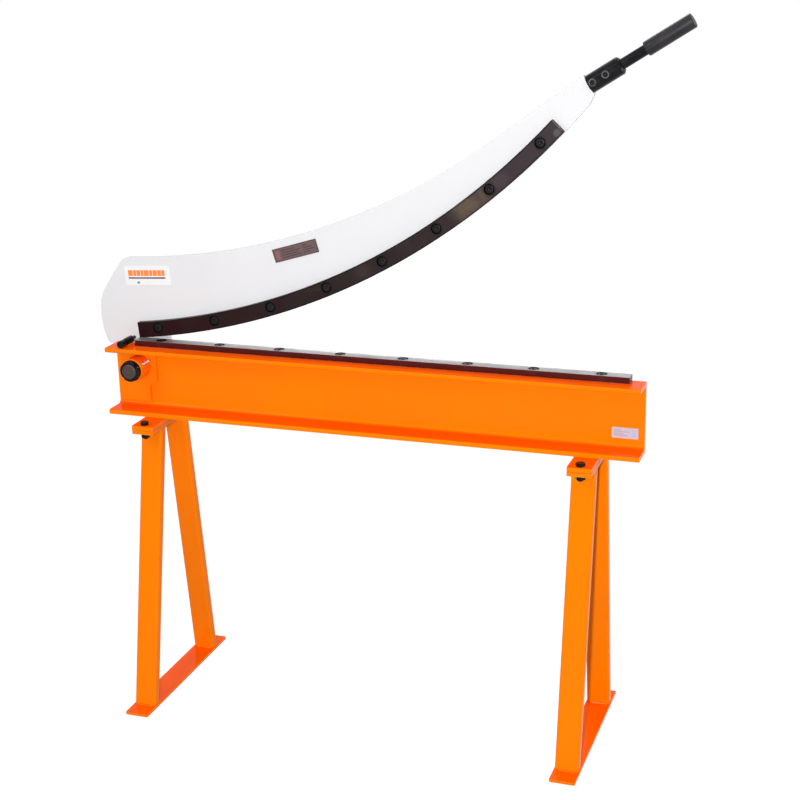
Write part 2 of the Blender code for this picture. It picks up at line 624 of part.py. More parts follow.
def make_lock_pin():
    # Both are turned about the pin's axis; height 0 is the shoulder that the knob stops at
    bore = LOCK_PIN_DIAMETER / 2 + FIT_GAP
    guide_radius = LOCK_GUIDE_DIAMETER / 2
    cup_radius = guide_radius - LOCK_KNOB_WALL
    neck_radius = cup_radius - FIT_GAP
    guide_rear = SHEAR_PLANE_Y - LOCK_GUIDE_SETBACK
    shoulder_y = guide_rear - LOCK_GUIDE_LENGTH
    profile = ((neck_radius, LOCK_NECK_LENGTH), (neck_radius, 0), (guide_radius, 0),
               (guide_radius, -LOCK_GUIDE_LENGTH), (bore, -LOCK_GUIDE_LENGTH), (bore, LOCK_NECK_LENGTH))
    place = at(LOCK_AXIS_X, shoulder_y, LOCK_AXIS_Z) @ TO_FRONT
    guide_mesh = turned_shape(profile, SMALL_SIDES, closed=True)
    add_part('lock_pin_guide', guide_mesh, BLACK_STEEL, place)

    # The knob is a cup over the guide's neck, and the pin's tip stops just short of the arm
    skirt_end = LOCK_NECK_LENGTH - FIT_GAP
    knob_top = skirt_end + LOCK_KNOB_LENGTH
    cup_floor = knob_top - LOCK_KNOB_FLOOR
    pin_radius = LOCK_PIN_DIAMETER / 2
    tip = -(ARM_FRONT_Y - LOCK_TIP_CLEARANCE - shoulder_y)
    profile = ((0, knob_top), (guide_radius - LOCK_PIN_CHAMFER, knob_top),
               (guide_radius, knob_top - LOCK_PIN_CHAMFER), (guide_radius, skirt_end),
               (cup_radius, skirt_end), (cup_radius, cup_floor), (pin_radius, cup_floor),
               (pin_radius, tip + LOCK_PIN_CHAMFER), (pin_radius - LOCK_PIN_CHAMFER, tip), (0, tip))
    add_part('lock_pin', turned_shape(profile, SMALL_SIDES), BLACK_STEEL, place)


def make_handle(arm_axis):
    start = handle_start()
    axis_place = at(start.x, 0, start.y) @ ALONG_HANDLE
    rod_radius = ROD_DIAMETER / 2
    socket_radius = rod_radius + SOCKET_WALL
    bore = rod_radius + FIT_GAP
    pocket_length = TONGUE_LENGTH + FIT_GAP
    bore_start = pocket_length + SOCKET_WEB
    socket_end = bore_start + SOCKET_BORE_DEPTH
    chamfered = socket_radius - SOCKET_CHAMFER
    profile = ((bore, socket_end), (chamfered, socket_end),
               (socket_radius, socket_end - SOCKET_CHAMFER), (socket_radius, FIT_GAP), (0, FIT_GAP),
               (0, bore_start), (bore, bore_start))
    socket = add_part('handle_socket', turned_shape(profile, closed=True), BLACK_STEEL,
                      axis_place, arm_axis)
    pocket = box_shape((TONGUE_WIDTH + 2 * FIT_GAP, ARM_THICKNESS + 2 * FIT_GAP,
                        pocket_length + CUT_OVERRUN))
    cut(socket, pocket, axis_place @ at(0, 0, (pocket_length - CUT_OVERRUN) / 2))

    # One screw holds the tongue and one the rod
    places = (SET_SCREW_SHARES[0] * TONGUE_LENGTH,
              bore_start + SET_SCREW_SHARES[1] * SOCKET_BORE_DEPTH)
    seats = (ARM_THICKNESS / 2 + FIT_GAP, rod_radius + FIT_GAP)
    for index, (place, seat) in enumerate(zip(places, seats)):
        screw_axis = axis_place @ at(0, 0, place) @ TO_FRONT
        hole = prism_shape(SMALL_SIDES, SET_SCREW_DIAMETER / 2 + FIT_GAP, socket_radius + CUT_OVERRUN)
        cut(socket, hole, screw_axis)
        length = socket_radius - SET_SCREW_RECESS - seat
        body = prism_shape(SMALL_SIDES, SET_SCREW_DIAMETER / 2, length)
        key = hex_shape(SET_SCREW_KEY_WIDTH, SET_SCREW_KEY_DEPTH + CUT_OVERRUN)
        screw = combined('set_screw', body, 'DIFFERENCE', key, at(0, 0, length - SET_SCREW_KEY_DEPTH))
        add_part('socket_set_screw_%d' % (index + 1), screw, BLACK_STEEL,
                 screw_axis @ at(0, 0, seat), arm_axis)

    grip_start = socket_end + ROD_FREE_LENGTH
    bore_end = grip_start + GRIP_LENGTH - GRIP_FLOOR
    rod_start = bore_start + FIT_GAP
    rod = prism_shape(ROUND_SIDES, rod_radius, bore_end - FIT_GAP - rod_start)
    shade(rod)
    add_part('handle_rod', rod, BLACK_STEEL, axis_place @ at(0, 0, rod_start), arm_axis)
    grip_radius = rod_radius + GRIP_WALL
    grip_end = grip_start + GRIP_LENGTH
    inner = grip_radius - GRIP_ROUNDING
    profile = ((0, grip_end), (inner, grip_end), (grip_radius, grip_end - GRIP_ROUNDING),
               (grip_radius, grip_start + GRIP_ROUNDING), (inner, grip_start), (bore, grip_start),
               (bore, bore_end), (0, bore_end))
    add_part('handle_grip', turned_shape(profile), BLACK_GRIP, axis_place, arm_axis)


def make_stand(side, center_x):
    plate = flat_shape([rounded_rectangle(PLATE_WIDTH, PLATE_LENGTH, PLATE_CORNER)]
                       + [circle((0, y - PLATE_FRONT_Y - PLATE_LENGTH / 2), BOLT_DIAMETER / 2 + FIT_GAP)
                          for y in BOLT_PLACES_Y], PLATE_THICKNESS)
    plate_y = PLATE_FRONT_Y + PLATE_LENGTH / 2
    pad_bottom = STAND_HEIGHT + FIT_GAP
    add_part('beam_pad_' + side, plate.copy(), ORANGE_PAINT,
             at(center_x, plate_y, pad_bottom + PLATE_THICKNESS / 2))
    add_part('stand_plate_' + side, plate, ORANGE_PAINT,
             at(center_x, plate_y, STAND_HEIGHT - PLATE_THICKNESS / 2))
    foot = flat_shape([rounded_rectangle(FOOT_WIDTH, FOOT_LENGTH, PLATE_CORNER)], FOOT_THICKNESS)
    add_part('stand_foot_' + side, foot, ORANGE_PAINT, at(center_x, 0, FOOT_THICKNESS / 2))

    bottom = FOOT_THICKNESS + FIT_GAP
    top = STAND_HEIGHT - PLATE_THICKNESS - FIT_GAP
    # Outer faces of the two legs at the foot and under the plate, and which way each is outward
    front_faces = -FOOT_LENGTH / 2 + FRONT_LEG_FOOT_INSET, PLATE_FRONT_Y + LEG_TOP_INSET
    rear_faces = FOOT_LENGTH / 2 - REAR_LEG_FOOT_INSET, PLATE_REAR_Y - LEG_TOP_INSET
    for name, faces, inward in (('front_leg_', front_faces, 1), ('rear_leg_', rear_faces, -1)):
        slope = (faces[1] - faces[0]) / (top - bottom)
        stretch = sqrt(1 + slope ** 2)
        depth = LEG_DEPTH * stretch
        outer = rounded_rectangle(LEG_WIDTH, depth, LEG_CORNER)
        inner = rounded_rectangle(LEG_WIDTH - 2 * LEG_WALL, depth - 2 * LEG_WALL * stretch,
                                  LEG_CORNER - LEG_WALL)
        tube = flat_shape([outer, inner], top - bottom)
        lean = Matrix.Identity(4)
        lean[1][2] = slope
        tube.transform(lean)
        middle = (faces[0] + faces[1]) / 2 + inward * depth / 2
        add_part(name + side, tube, ORANGE_PAINT, at(center_x, middle, (top + bottom) / 2))

    grip = pad_bottom + PLATE_THICKNESS + FIT_GAP - (STAND_HEIGHT - PLATE_THICKNESS - FIT_GAP)
    shank_length = grip + BOLT_NUT_HEIGHT + BOLT_TAIL
    shank = prism_shape(SMALL_SIDES, BOLT_DIAMETER / 2, shank_length + BOLT_HEAD_HEIGHT / 2)
    across_flats = BOLT_FLATS_SHARE * BOLT_DIAMETER
    bolt = combined('bolt', hex_shape(across_flats, BOLT_HEAD_HEIGHT), 'UNION', shank,
                    at(0, 0, -shank_length))
    bore = prism_shape(SMALL_SIDES, BOLT_DIAMETER / 2 + FIT_GAP, BOLT_NUT_HEIGHT + 2 * CUT_OVERRUN)
    nut = combined('nut', hex_shape(across_flats, BOLT_NUT_HEIGHT), 'DIFFERENCE', bore,
                   at(0, 0, -CUT_OVERRUN))
    for end, y in zip(('front', 'rear'), BOLT_PLACES_Y):
        add_part('%s_bolt_%s' % (end, side), bolt.copy(), BLACK_STEEL,
                 at(center_x, y, pad_bottom + PLATE_THICKNESS + FIT_GAP))
        add_part('%s_nut_%s' % (end, side), nut.copy(), BLACK_STEEL,
                 at(center_x, y, STAND_HEIGHT - PLATE_THICKNESS - FIT_GAP - BOLT_NUT_HEIGHT))


def make_labels(arm_axis):
    arm_label_y = -ARM_THICKNESS / 2 - FIT_GAP - LABEL_THICKNESS / 2
    rating_place = on_blade_arc(CUTTING_EDGE_RADIUS - RATING_PLATE_SETBACK, RATING_PLATE_ANGLE)
    for name, (x, z), (length, height), tilt, finish in (
            ('arm_sticker', STICKER_CENTER, STICKER_SIZE, STICKER_TILT, WHITE_LABEL),
            ('rating_plate', rating_place, RATING_PLATE_SIZE, RATING_PLATE_TILT, BROWN_LABEL)):
        add_part(name, box_shape((length, LABEL_THICKNESS, height)), finish,
                 at(x, arm_label_y, z) @ Matrix.Rotation(-tilt, 4, 'Y'), arm_axis)
    add_part('beam_label', box_shape((BEAM_LABEL_SIZE[0], LABEL_THICKNESS, BEAM_LABEL_SIZE[1])),
             WHITE_LABEL, at(BEAM_RIGHT_X - BEAM_LABEL_INSET,
                             WEB_FRONT_Y - FIT_GAP - LABEL_THICKNESS / 2,
                             BEAM_BOTTOM_Z + BEAM_LABEL_RISE))


clear_scene()
PARTS = new_collection('guillotine_shear')
CUTTERS = new_collection('cutters')
arm_axis_empty = link('arm_axis', None, PARTS, at(PIVOT_X, ARM_MIDDLE_Y, PIVOT_Z))

make_beam()
make_lower_blade()
for stand_side, stand_x in zip(('left', 'right'), STAND_CENTERS_X):
    make_stand(stand_side, stand_x)
make_pivot(arm_axis_empty)
make_lock_pin()
make_arm(arm_axis_empty)
make_upper_blade(arm_axis_empty)
make_handle(arm_axis_empty)
make_labels(arm_axis_empty)
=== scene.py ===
# Looks of the guillotine shear: finishes, rounded edges, fine screws and bolts, weld beads and
# labels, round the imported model. Metres, +Z up, +X along the beam to the handle, +Y away.
import bpy
import bmesh
import numpy as np
from mathutils import Matrix, Vector


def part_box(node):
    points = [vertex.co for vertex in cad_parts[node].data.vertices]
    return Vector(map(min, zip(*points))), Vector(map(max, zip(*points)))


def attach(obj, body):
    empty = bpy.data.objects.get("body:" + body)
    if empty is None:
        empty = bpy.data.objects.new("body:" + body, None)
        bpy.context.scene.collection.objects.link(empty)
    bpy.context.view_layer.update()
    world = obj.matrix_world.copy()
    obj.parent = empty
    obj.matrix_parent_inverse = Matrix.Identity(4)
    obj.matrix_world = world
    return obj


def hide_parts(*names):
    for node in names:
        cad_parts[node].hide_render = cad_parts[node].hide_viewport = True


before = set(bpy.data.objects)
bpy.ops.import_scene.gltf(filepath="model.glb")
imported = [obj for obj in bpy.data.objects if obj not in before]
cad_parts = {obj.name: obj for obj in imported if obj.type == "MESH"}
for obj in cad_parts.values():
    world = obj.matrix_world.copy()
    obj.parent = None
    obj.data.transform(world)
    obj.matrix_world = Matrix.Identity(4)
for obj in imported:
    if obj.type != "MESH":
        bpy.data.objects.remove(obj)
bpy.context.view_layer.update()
print("frame loaded:", len(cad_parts), "nodes")

# Places on the machine that several pieces use, and the gap between pieces that fit together
pivot = {"x": -0.508, "z": 0.6886}
pivotAxis = (pivot["x"], 0.0, pivot["z"])
arc = {"x": pivot["x"] - 0.1592, "z": pivot["z"] + 1.4711, "cuttingRadius": 1.4247, "width": 0.032}
handle = {"start": (0.4150, 0.0531, 1.2701), "heading": np.radians(31.99)}
forward = np.array((np.cos(handle["heading"]), 0.0, np.sin(handle["heading"])))
toFront, toUp = np.array((0.0, -1.0, 0.0)), np.array((0.0, 0.0, 1.0))
standCorners = [(end, side) for side in ("left", "right") for end in ("front", "rear")]
gap = 0.0003


def addObject(name, data):
    item = bpy.data.objects.new(name, data)
    bpy.context.scene.collection.objects.link(item)
    return item


# Camera and room

camera = {"centre": (1.0400, -2.7644, 1.5956), "lens": 71.55,
          "right": (0.9448055, 0.32696479, -0.02089498),
          "down": (0.07986028, -0.29167983, -0.95317638),
          "forward": (-0.31774976, 0.8988976, -0.30169221)}


def makeCamera(values):
    data = bpy.data.cameras.new("camera")
    data.lens, data.sensor_width = values["lens"], 36.0
    data.clip_start, data.clip_end = 0.05, 60.0
    item = addObject("camera", data)
    right, down, ahead = (Vector(values[k]) for k in ("right", "down", "forward"))
    turn = Matrix((right, -down, -ahead)).transposed().to_4x4()
    item.matrix_world = Matrix.Translation(values["centre"]) @ turn
    bpy.context.scene.camera = item


room = {"floorHalf": 14.0, "worldLevel": 0.22, "floorColor": (0.33, 0.33, 0.33, 1),
        "glowNear": 0.77, "glowFar": 0.93, "glowStart": 1.3, "glowEnd": 5.0, "aim": (-0.05, 0.0, 0.70),
        "lamps": {"keyLamp": {"place": (0.92, -2.80, 1.58), "size": 0.10, "power": 72.0},
                  "topLamp": {"place": (0.0, -0.5, 4.0), "size": 2.6, "power": 32.0},
                  "leftLamp": {"place": (-1.5, -1.7, 2.2), "size": 1.0, "power": 15.0},
                  "rightLamp": {"place": (3.2, 0.5, 1.3), "size": 1.5, "power": 32.0},
                  "backLamp": {"place": (-0.6, 2.60, 3.20), "size": 1.6, "power": 45.0}}}


def lamp(name, aim, values):
    data = bpy.data.lights.new(name, "AREA")
    data.shape, data.size, data.energy = "DISK", values["size"], values["power"]
    item = addObject(name, data)
    item.location = values["place"]
    item.rotation_mode = "QUATERNION"
    item.rotation_quaternion = (Vector(aim) - Vector(values["place"])).to_track_quat("-Z", "Y")
    item.visible_camera = False


def seenBackground(board):
    # 1 for the rays that see the background straight or in a mirror
    path = board.put("LightPath").outputs
    seen = board.math("MAXIMUM", path["Is Camera Ray"], path["Is Glossy Ray"])
    return board.math("MAXIMUM", seen, path["Is Transmission Ray"])


def makeRoom(values):
    world = bpy.data.worlds.new("room")
    bpy.context.scene.world = world
    world.use_nodes = True
    board = Board(world.node_tree)
    back = world.node_tree.nodes["Background"].inputs
    board.feed((1, 1, 1, 1), back["Color"])
    level = board.span(seenBackground(board), 0.0, 1.0, values["worldLevel"], 1.0, smooth=False)
    board.feed(level, back["Strength"])

    half = values["floorHalf"]
    mesh = bpy.data.meshes.new("floor")
    mesh.from_pydata([(-half, -half, 0), (half, -half, 0), (half, half, 0), (-half, half, 0)], [],
                     [(0, 1, 2, 3)])
    floor = addObject("floor", mesh)
    material, board, shader = newMaterial("floorWhite", Base_Color=values["floorColor"], Roughness=0.9,
                                          Specular_IOR_Level=0.0, Emission_Color=(1, 1, 1, 1))
    mesh.materials.append(material)
    # Far from the machine the floor glows more, so that it meets the background without a line
    away = board.put("VectorMath", {0: board.places()}, operation="LENGTH").outputs["Value"]
    glow = board.span(away, values["glowStart"], values["glowEnd"], values["glowNear"], values["glowFar"])
    board.feed(board.times(glow, seenBackground(board)), shader.inputs["Emission Strength"])

    for name, lampValues in values["lamps"].items():
        lamp(name, values["aim"], lampValues)
    bpy.context.scene.view_settings.view_transform = "Standard"


# Shader groups and materials

class Board:
    # A short way to place nodes and wire them in one tree
    def __init__(self, tree):
        self.tree = tree

    def put(self, kind, values=(), **settings):
        node = self.tree.nodes.new("ShaderNode" + kind)
        for key, value in settings.items():
            setattr(node, key, value)
        for socket, value in dict(values).items():
            self.feed(value, node.inputs[socket])
        return node

    def feed(self, value, socket):
        if isinstance(value, bpy.types.NodeSocket):
            self.tree.links.new(value, socket)
        elif isinstance(value, bpy.types.Node):
            self.tree.links.new(value.outputs[0], socket)
        else:
            socket.default_value = value

    def math(self, operation, *values, clamp=False):
        return self.put("Math", dict(enumerate(values)), operation=operation, use_clamp=clamp).outputs[0]

    def times(self, first, second):
        return self.math("MULTIPLY", first, second)

    def plus(self, first, second):
        return self.math("ADD", first, second)

    def minus(self, first, second):
        return self.math("SUBTRACT", first, second)

    def length(self, first, second):
        # sqrt(first^2 + second^2)
        return self.math("SQRT", self.plus(*(self.math("POWER", value, 2.0) for value in (first, second))))

    def span(self, value, low, high, toLow=0.0, toHigh=1.0, smooth=True):
        # value between low and high becomes a value between toLow and toHigh
        kind = "SMOOTHSTEP" if smooth else "LINEAR"
        return self.put("MapRange", {"Value": value, "From Min": low, "From Max": high, "To Min": toLow,
                                     "To Max": toHigh}, interpolation_type=kind).outputs["Result"]

    def mix(self, share, first, second):
        return self.put("Mix", {0: share, 6: first, 7: second}, data_type="RGBA").outputs[2]

    def places(self):
        return self.put("TexCoord").outputs["Object"]

    def parts(self, vector):
        return self.put("SeparateXYZ", {0: vector}).outputs

    def upward(self):
        # 1 on level tops, 0 on upright walls
        return self.parts(self.put("TexCoord").outputs["Normal"])[2]

    def noise(self, vector, scale, detail):
        return self.put("TexNoise", {"Vector": vector, "Scale": scale, "Detail": detail}).outputs["Fac"]

    def group(self, kind, values):
        return self.put("Group", values, node_tree=groups[kind]).outputs


def newGroup(name, inputs, outputs):
    tree = bpy.data.node_groups.new(name, "ShaderNodeTree")
    for label, kind, value in inputs:
        socket = tree.interface.new_socket(label, in_out="INPUT", socket_type="NodeSocket" + kind)
        if value is not None:
            socket.default_value = value
    for label, kind in outputs:
        tree.interface.new_socket(label, in_out="OUTPUT", socket_type="NodeSocket" + kind)
    given, result = tree.nodes.new("NodeGroupInput").outputs, tree.nodes.new("NodeGroupOutput").inputs
    return tree, Board(tree), given, result


def makeEdgeGroup():
    # Mask is 1 on outer edges: where the rounded normal departs from the face's own. Paints use it for a
    # painted highlight on their edges, blades and metals for bare, worn edges
    tree, board, given, result = newGroup(
        "edgeWearAndSheen", [("Radius", "Float", 0.001), ("Break", "Float", 90.0), ("Amount", "Float", 1.0)],
        [("Mask", "Float")])
    rounded = board.put("Bevel", {"Radius": given["Radius"]}, samples=6)
    face = board.put("NewGeometry").outputs["Normal"]
    meet = board.put("VectorMath", {0: rounded, 1: face}, operation="DOT_PRODUCT").outputs["Value"]
    broken = board.span(board.noise(board.places(), given["Break"], 4.0), 0.35, 0.62)
    edge = board.times(board.span(meet, 0.995, 0.90), broken)
    board.feed(board.times(edge, given["Amount"]), result["Mask"])
    return tree


def makePaintGroup():
    # Orange peel, broad drift in tone and fine dust of a sprayed and baked coat
    tree, board, given, result = newGroup(
        "sprayedCoat", [("Color", "Color", (1, 1, 1, 1)), ("Drift", "Float", 0.05), ("Peel", "Float", 420.0)],
        [("Color", "Color"), ("Roughness", "Float"), ("Height", "Float")])
    places = board.places()
    broad, peel = board.noise(places, 7.0, 3.0), board.noise(places, given["Peel"], 2.0)
    dots = board.put("TexVoronoi", {"Vector": places, "Scale": 260.0}, feature="F1").outputs["Distance"]
    speck = board.span(dots, 0.10, 0.05)
    tone = board.plus(board.span(broad, 0.3, 0.7, -0.5, 0.5), board.span(peel, 0.3, 0.7, -0.15, 0.15))
    value = board.plus(board.times(tone, given["Drift"]), 1.0)
    board.feed(board.put("HueSaturation", {"Value": value, "Color": given["Color"]}), result["Color"])
    rough = board.plus(board.span(broad, 0.3, 0.7, -0.04, 0.04), board.times(speck, 0.10))
    board.feed(rough, result["Roughness"])
    board.feed(board.plus(peel, board.times(speck, 0.3)), result["Height"])
    return tree


def makeGrindGroup():
    # Fine lines of a grinding wheel: noise stretched along the given direction
    tree, board, given, result = newGroup(
        "groundLines", [("Vector", "Vector", None), ("Stretch", "Float", 0.02), ("Scale", "Float", 1500.0)],
        [("Lines", "Float"), ("Clouds", "Float")])
    x, y, z = board.parts(given["Vector"])
    squeezed = board.put("CombineXYZ", {0: board.times(x, given["Stretch"]), 1: y, 2: z})
    lines = board.put("TexNoise", {"Vector": squeezed, "Scale": given["Scale"], "Detail": 5.0,
                                   "Roughness": 0.65})
    board.feed(lines.outputs["Fac"], result["Lines"])
    board.feed(board.noise(given["Vector"], 22.0, 5.0), result["Clouds"])
    return tree


def newMaterial(name, **fixed):
    # The named values are the shader's own sockets, with _ for a space
    material = bpy.data.materials.new(name)
    material.use_nodes = True
    shader = material.node_tree.nodes["Principled BSDF"]
    for key, value in fixed.items():
        shader.inputs[key.replace("_", " ")].default_value = value
    return material, Board(material.node_tree), shader


def surface(board, shader, color, roughness, height, strength, depth):
    # What changes over a surface: colour, roughness and bump
    bump = board.put("Bump", {"Height": height, "Strength": strength, "Distance": depth})
    for value, socket in ((color, "Base Color"), (roughness, "Roughness"), (bump, "Normal")):
        board.feed(value, shader.inputs[socket])


makeCamera(camera)
makeRoom(room)
print("camera and room ready")
groups = {"edge": makeEdgeGroup(), "paint": makePaintGroup(), "grind": makeGrindGroup()}


# Paints: front colour; up colour for level tops, which is painted shade where less light falls on them; edge
# colour, which is a painted highlight
paints = {
    "orangePaint": {"front": (1.0, 0.212, 0.0, 1), "up": (1.0, 0.110, 0.0, 1), "edge": (1.0, 0.26, 0.0, 1),
                    "roughness": 0.15, "drift": 0.05, "specular": 0.06},
    "greyPaint": {"front": (0.755, 0.755, 0.770, 1), "up": (0.72, 0.72, 0.74, 1),
                  "edge": (0.75, 0.75, 0.77, 1), "roughness": 0.34, "drift": 0.02, "specular": 0.3}}


def makePaint(name, values):
    material, board, shader = newMaterial(name, Specular_IOR_Level=values["specular"])
    # Level tops take the up colour: painted shade, redder and darker than the fronts
    base = board.mix(board.span(board.upward(), 0.35, 0.95), values["front"], values["up"])
    edge = board.group("edge", {"Radius": 0.0010, "Break": 60.0, "Amount": 0.35})
    # Edges take a lighter colour: a painted highlight along them
    base = board.mix(edge["Mask"], base, values["edge"])
    coat = board.group("paint", {"Color": base, "Drift": values["drift"], "Peel": 420.0})
    surface(board, shader, coat["Color"], board.plus(coat["Roughness"], values["roughness"]), coat["Height"],
            0.10, 0.0004)
    return material


upperLooks = {"left": (0.024, 0.005, 0.006, 1), "middle": (0.026, 0.017, 0.016, 1),
              "right": (0.046, 0.034, 0.038, 1), "dark": (0.010, 0.006, 0.007, 1),
              "black": (0.004, 0.004, 0.004, 1), "bare": (0.30, 0.26, 0.26, 1), "rimShare": 0.45,
              "lineShare": 0.30, "lineScale": 1400.0, "roughness": (0.30, 0.50), "bump": 0.18,
              "edgeBreak": 45.0, "edgeAmount": 0.6, "screwRadius": 1.4072,
              # Patches: place, size, colour; the small second one at the blade's tip is a painted highlight,
              # a glint
              "patches": [((0.1928, 0.035, 1.0496), 0.050, (0.170, 0.125, 0.085, 1)),
                          ((0.3616, 0.035, 1.1862), 0.009, (0.120, 0.110, 0.115, 1)),
                          ((0.2544, 0.035, 1.1002), 0.030, (0.075, 0.055, 0.060, 1)),
                          ((-0.0200, 0.035, 0.9080), 0.034, (0.060, 0.040, 0.034, 1))]}
# Lower blade: the three top tones along its length are painted light
lowerLooks = {"topLeft": (0.47, 0.44, 0.45, 1), "topMiddle": (0.275, 0.262, 0.268, 1),
              "topRight": (0.36, 0.345, 0.35, 1), "front": (0.078, 0.008, 0.006, 1),
              "dark": (0.07, 0.04, 0.04, 1), "black": (0.004, 0.004, 0.004, 1),
              "bare": (0.55, 0.53, 0.53, 1), "rimShare": 0.35, "lineShare": 0.35, "lineScale": 1500.0,
              "roughness": (0.26, 0.46), "bump": 0.20, "edgeBreak": 60.0, "edgeAmount": 0.8,
              "screwPlaceY": 0.022}


def screwLine(blade, place):
    # First place and pitch of a blade's row of screws
    boxes = [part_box("%s_blade_screw_%d" % (blade, index)) for index in range(1, 9)]
    places = [place(*((low + high) / 2)) for low, high in boxes]
    return places[0], (places[-1] - places[0]) / (len(places) - 1)


def screwStainsAndShade(board, color, along, across, line, values):
    # Distance to the nearest screw gives the black in its counterbore, painted shade in the recess round the
    # head, and an oily rim round it
    first, pitch = line
    steps = board.plus(board.math("DIVIDE", board.minus(along, first), pitch), 0.5)
    apart = board.times(board.minus(board.math("FRACT", steps), 0.5), pitch)
    away = board.length(apart, across)
    bore, rimmed = board.span(away, 0.0112, 0.0100), board.span(away, 0.0160, 0.0105)
    color = board.mix(board.times(rimmed, values["rimShare"]), color, values["dark"])
    return board.mix(bore, color, values["black"]), bore


def grindLines(board, vector, values):
    # The grinding pattern, and how much its lines darken the steel
    grind = board.group("grind", {"Vector": vector, "Stretch": 0.015, "Scale": values["lineScale"]})
    return grind["Lines"], grind["Clouds"], board.span(grind["Lines"], 0.25, 0.75, 0.0, values["lineShare"])


def bladeSurface(board, shader, color, bore, lines, values):
    # Edges are bare except in the counterbores, and the grinding lines show in gloss and bump
    edge = board.group("edge", {"Radius": 0.0008, "Break": values["edgeBreak"],
                                "Amount": values["edgeAmount"]})
    color = board.mix(board.times(edge["Mask"], board.minus(1.0, bore)), color, values["bare"])
    surface(board, shader, color, board.span(lines, 0.2, 0.8, *values["roughness"]), lines, values["bump"],
            0.0002)


def makeUpperBladeSteel(values):
    material, board, shader = newMaterial("upperBladeSteel", Metallic=0.55, Specular_IOR_Level=0.12)
    places = board.places()
    # Along and across the blade: angle about the arc's centre times the radius, and the radius
    x, y, z = board.parts(board.put("Mapping", {"Vector": places, "Location": (-arc["x"], 0.0, -arc["z"])}))
    radius = board.length(x, z)
    along = board.times(board.math("ARCTAN2", x, board.times(z, -1.0)), arc["cuttingRadius"])
    curved = board.put("CombineXYZ", {0: along, 1: y, 2: radius})
    lines, clouds, lined = grindLines(board, curved, values)
    # From the left end to the right the blade goes from dark maroon to lighter grey-purple: a painted
    # reflection, the tone following what the steel mirrors along its length
    share = board.math("ADD", board.span(along, 0.15, 1.16, smooth=False),
                       board.span(clouds, 0.3, 0.7, -0.10, 0.10), clamp=True)
    color = board.mix(board.span(share, 0.0, 0.5), values["left"], values["middle"])
    color = board.mix(board.span(share, 0.45, 1.0), color, values["right"])
    # Round patches of another tone at given places; the one at the tip is a painted highlight
    for place, size, tone in values["patches"]:
        apart = board.put("VectorMath", {0: places, 1: place}, operation="DISTANCE").outputs["Value"]
        ragged = board.plus(apart, board.span(clouds, 0.3, 0.7, -0.3 * size, 0.3 * size))
        color = board.mix(board.span(ragged, size, 0.004, 0.0, 0.60), color, tone)
    middle = arc["cuttingRadius"] - arc["width"] / 2
    rim = board.span(board.math("ABSOLUTE", board.minus(radius, middle)), 0.0122, 0.0148)
    color = board.mix(board.times(rim, 0.75), color, values["dark"])
    line = screwLine("upper", lambda x, y, z: np.arctan2(x - arc["x"], arc["z"] - z) * arc["cuttingRadius"])
    across = board.minus(radius, values["screwRadius"])
    color, bore = screwStainsAndShade(board, color, along, across, line, values)
    bladeSurface(board, shader, board.mix(lined, color, values["dark"]), bore, lines, values)
    return material


def makeLowerBladeSteel(values):
    material, board, shader = newMaterial("lowerBladeSteel", Metallic=0.65, Specular_IOR_Level=0.2)
    places = board.places()
    x, y, _ = board.parts(places)
    lines, clouds, lined = grindLines(board, places, values)
    # Along the ground top the tone runs lighter at the left end, darker in the middle and lighter again at
    # the right: painted highlight and painted shade, following how the light falls along it
    top = board.mix(board.span(x, -0.25, 0.05), values["topLeft"], values["topMiddle"])
    top = board.mix(board.span(x, 0.36, 0.46), top, values["topRight"])
    top = board.mix(board.span(clouds, 0.35, 0.70, 0.0, 0.35), top, values["dark"])
    color = board.mix(board.span(board.upward(), 0.4, 0.9), values["front"], top)
    color = board.mix(lined, color, values["dark"])
    across, line = board.minus(y, values["screwPlaceY"]), screwLine("lower", lambda x, y, z: x)
    color, bore = screwStainsAndShade(board, color, x, across, line, values)
    bladeSurface(board, shader, color, bore, lines, values)
    return material


metals = {
    "blackOxide": {"color": (0.004, 0.0035, 0.005, 1), "tint": (0.008, 0.0075, 0.008, 1),
                   "edge": (0.10, 0.09, 0.09, 1), "roughness": 0.30, "metallic": 0.3, "wear": 0.5,
                   "specular": 0.16},
    "zincSteel": {"color": (0.62, 0.62, 0.64, 1), "tint": (0.72, 0.71, 0.70, 1),
                  "edge": (0.85, 0.85, 0.85, 1), "roughness": 0.22, "metallic": 0.9, "wear": 0.5,
                  "specular": 0.25},
    "bareRim": {"color": (0.10, 0.097, 0.105, 1), "tint": (0.06, 0.057, 0.06, 1),
                "edge": (0.20, 0.19, 0.19, 1), "roughness": 0.45, "metallic": 0.6, "wear": 0.4,
                "specular": 0.25},
    "screwSteel": {"color": (0.008, 0.0075, 0.009, 1), "tint": (0.014, 0.013, 0.013, 1),
                   "edge": (0.10, 0.09, 0.09, 1), "roughness": 0.32, "metallic": 0.4, "wear": 0.6,
                   "specular": 0.16},
    "groundShaft": {"color": (0.40, 0.38, 0.39, 1), "tint": (0.30, 0.27, 0.25, 1),
                    "edge": (0.70, 0.70, 0.70, 1), "roughness": 0.30, "metallic": 1.0, "wear": 0.8,
                    "specular": 0.25},
    "shaftEnd": {"color": (0.060, 0.058, 0.052, 1), "tint": (0.105, 0.045, 0.042, 1),
                 "edge": (0.30, 0.27, 0.26, 1), "roughness": 0.38, "metallic": 0.8, "wear": 0.8,
                 "specular": 0.25},
    "bushBronze": {"color": (0.55, 0.33, 0.12, 1), "tint": (0.40, 0.24, 0.10, 1),
                   "edge": (0.75, 0.52, 0.26, 1), "roughness": 0.34, "metallic": 1.0, "wear": 0.6,
                   "specular": 0.25}}


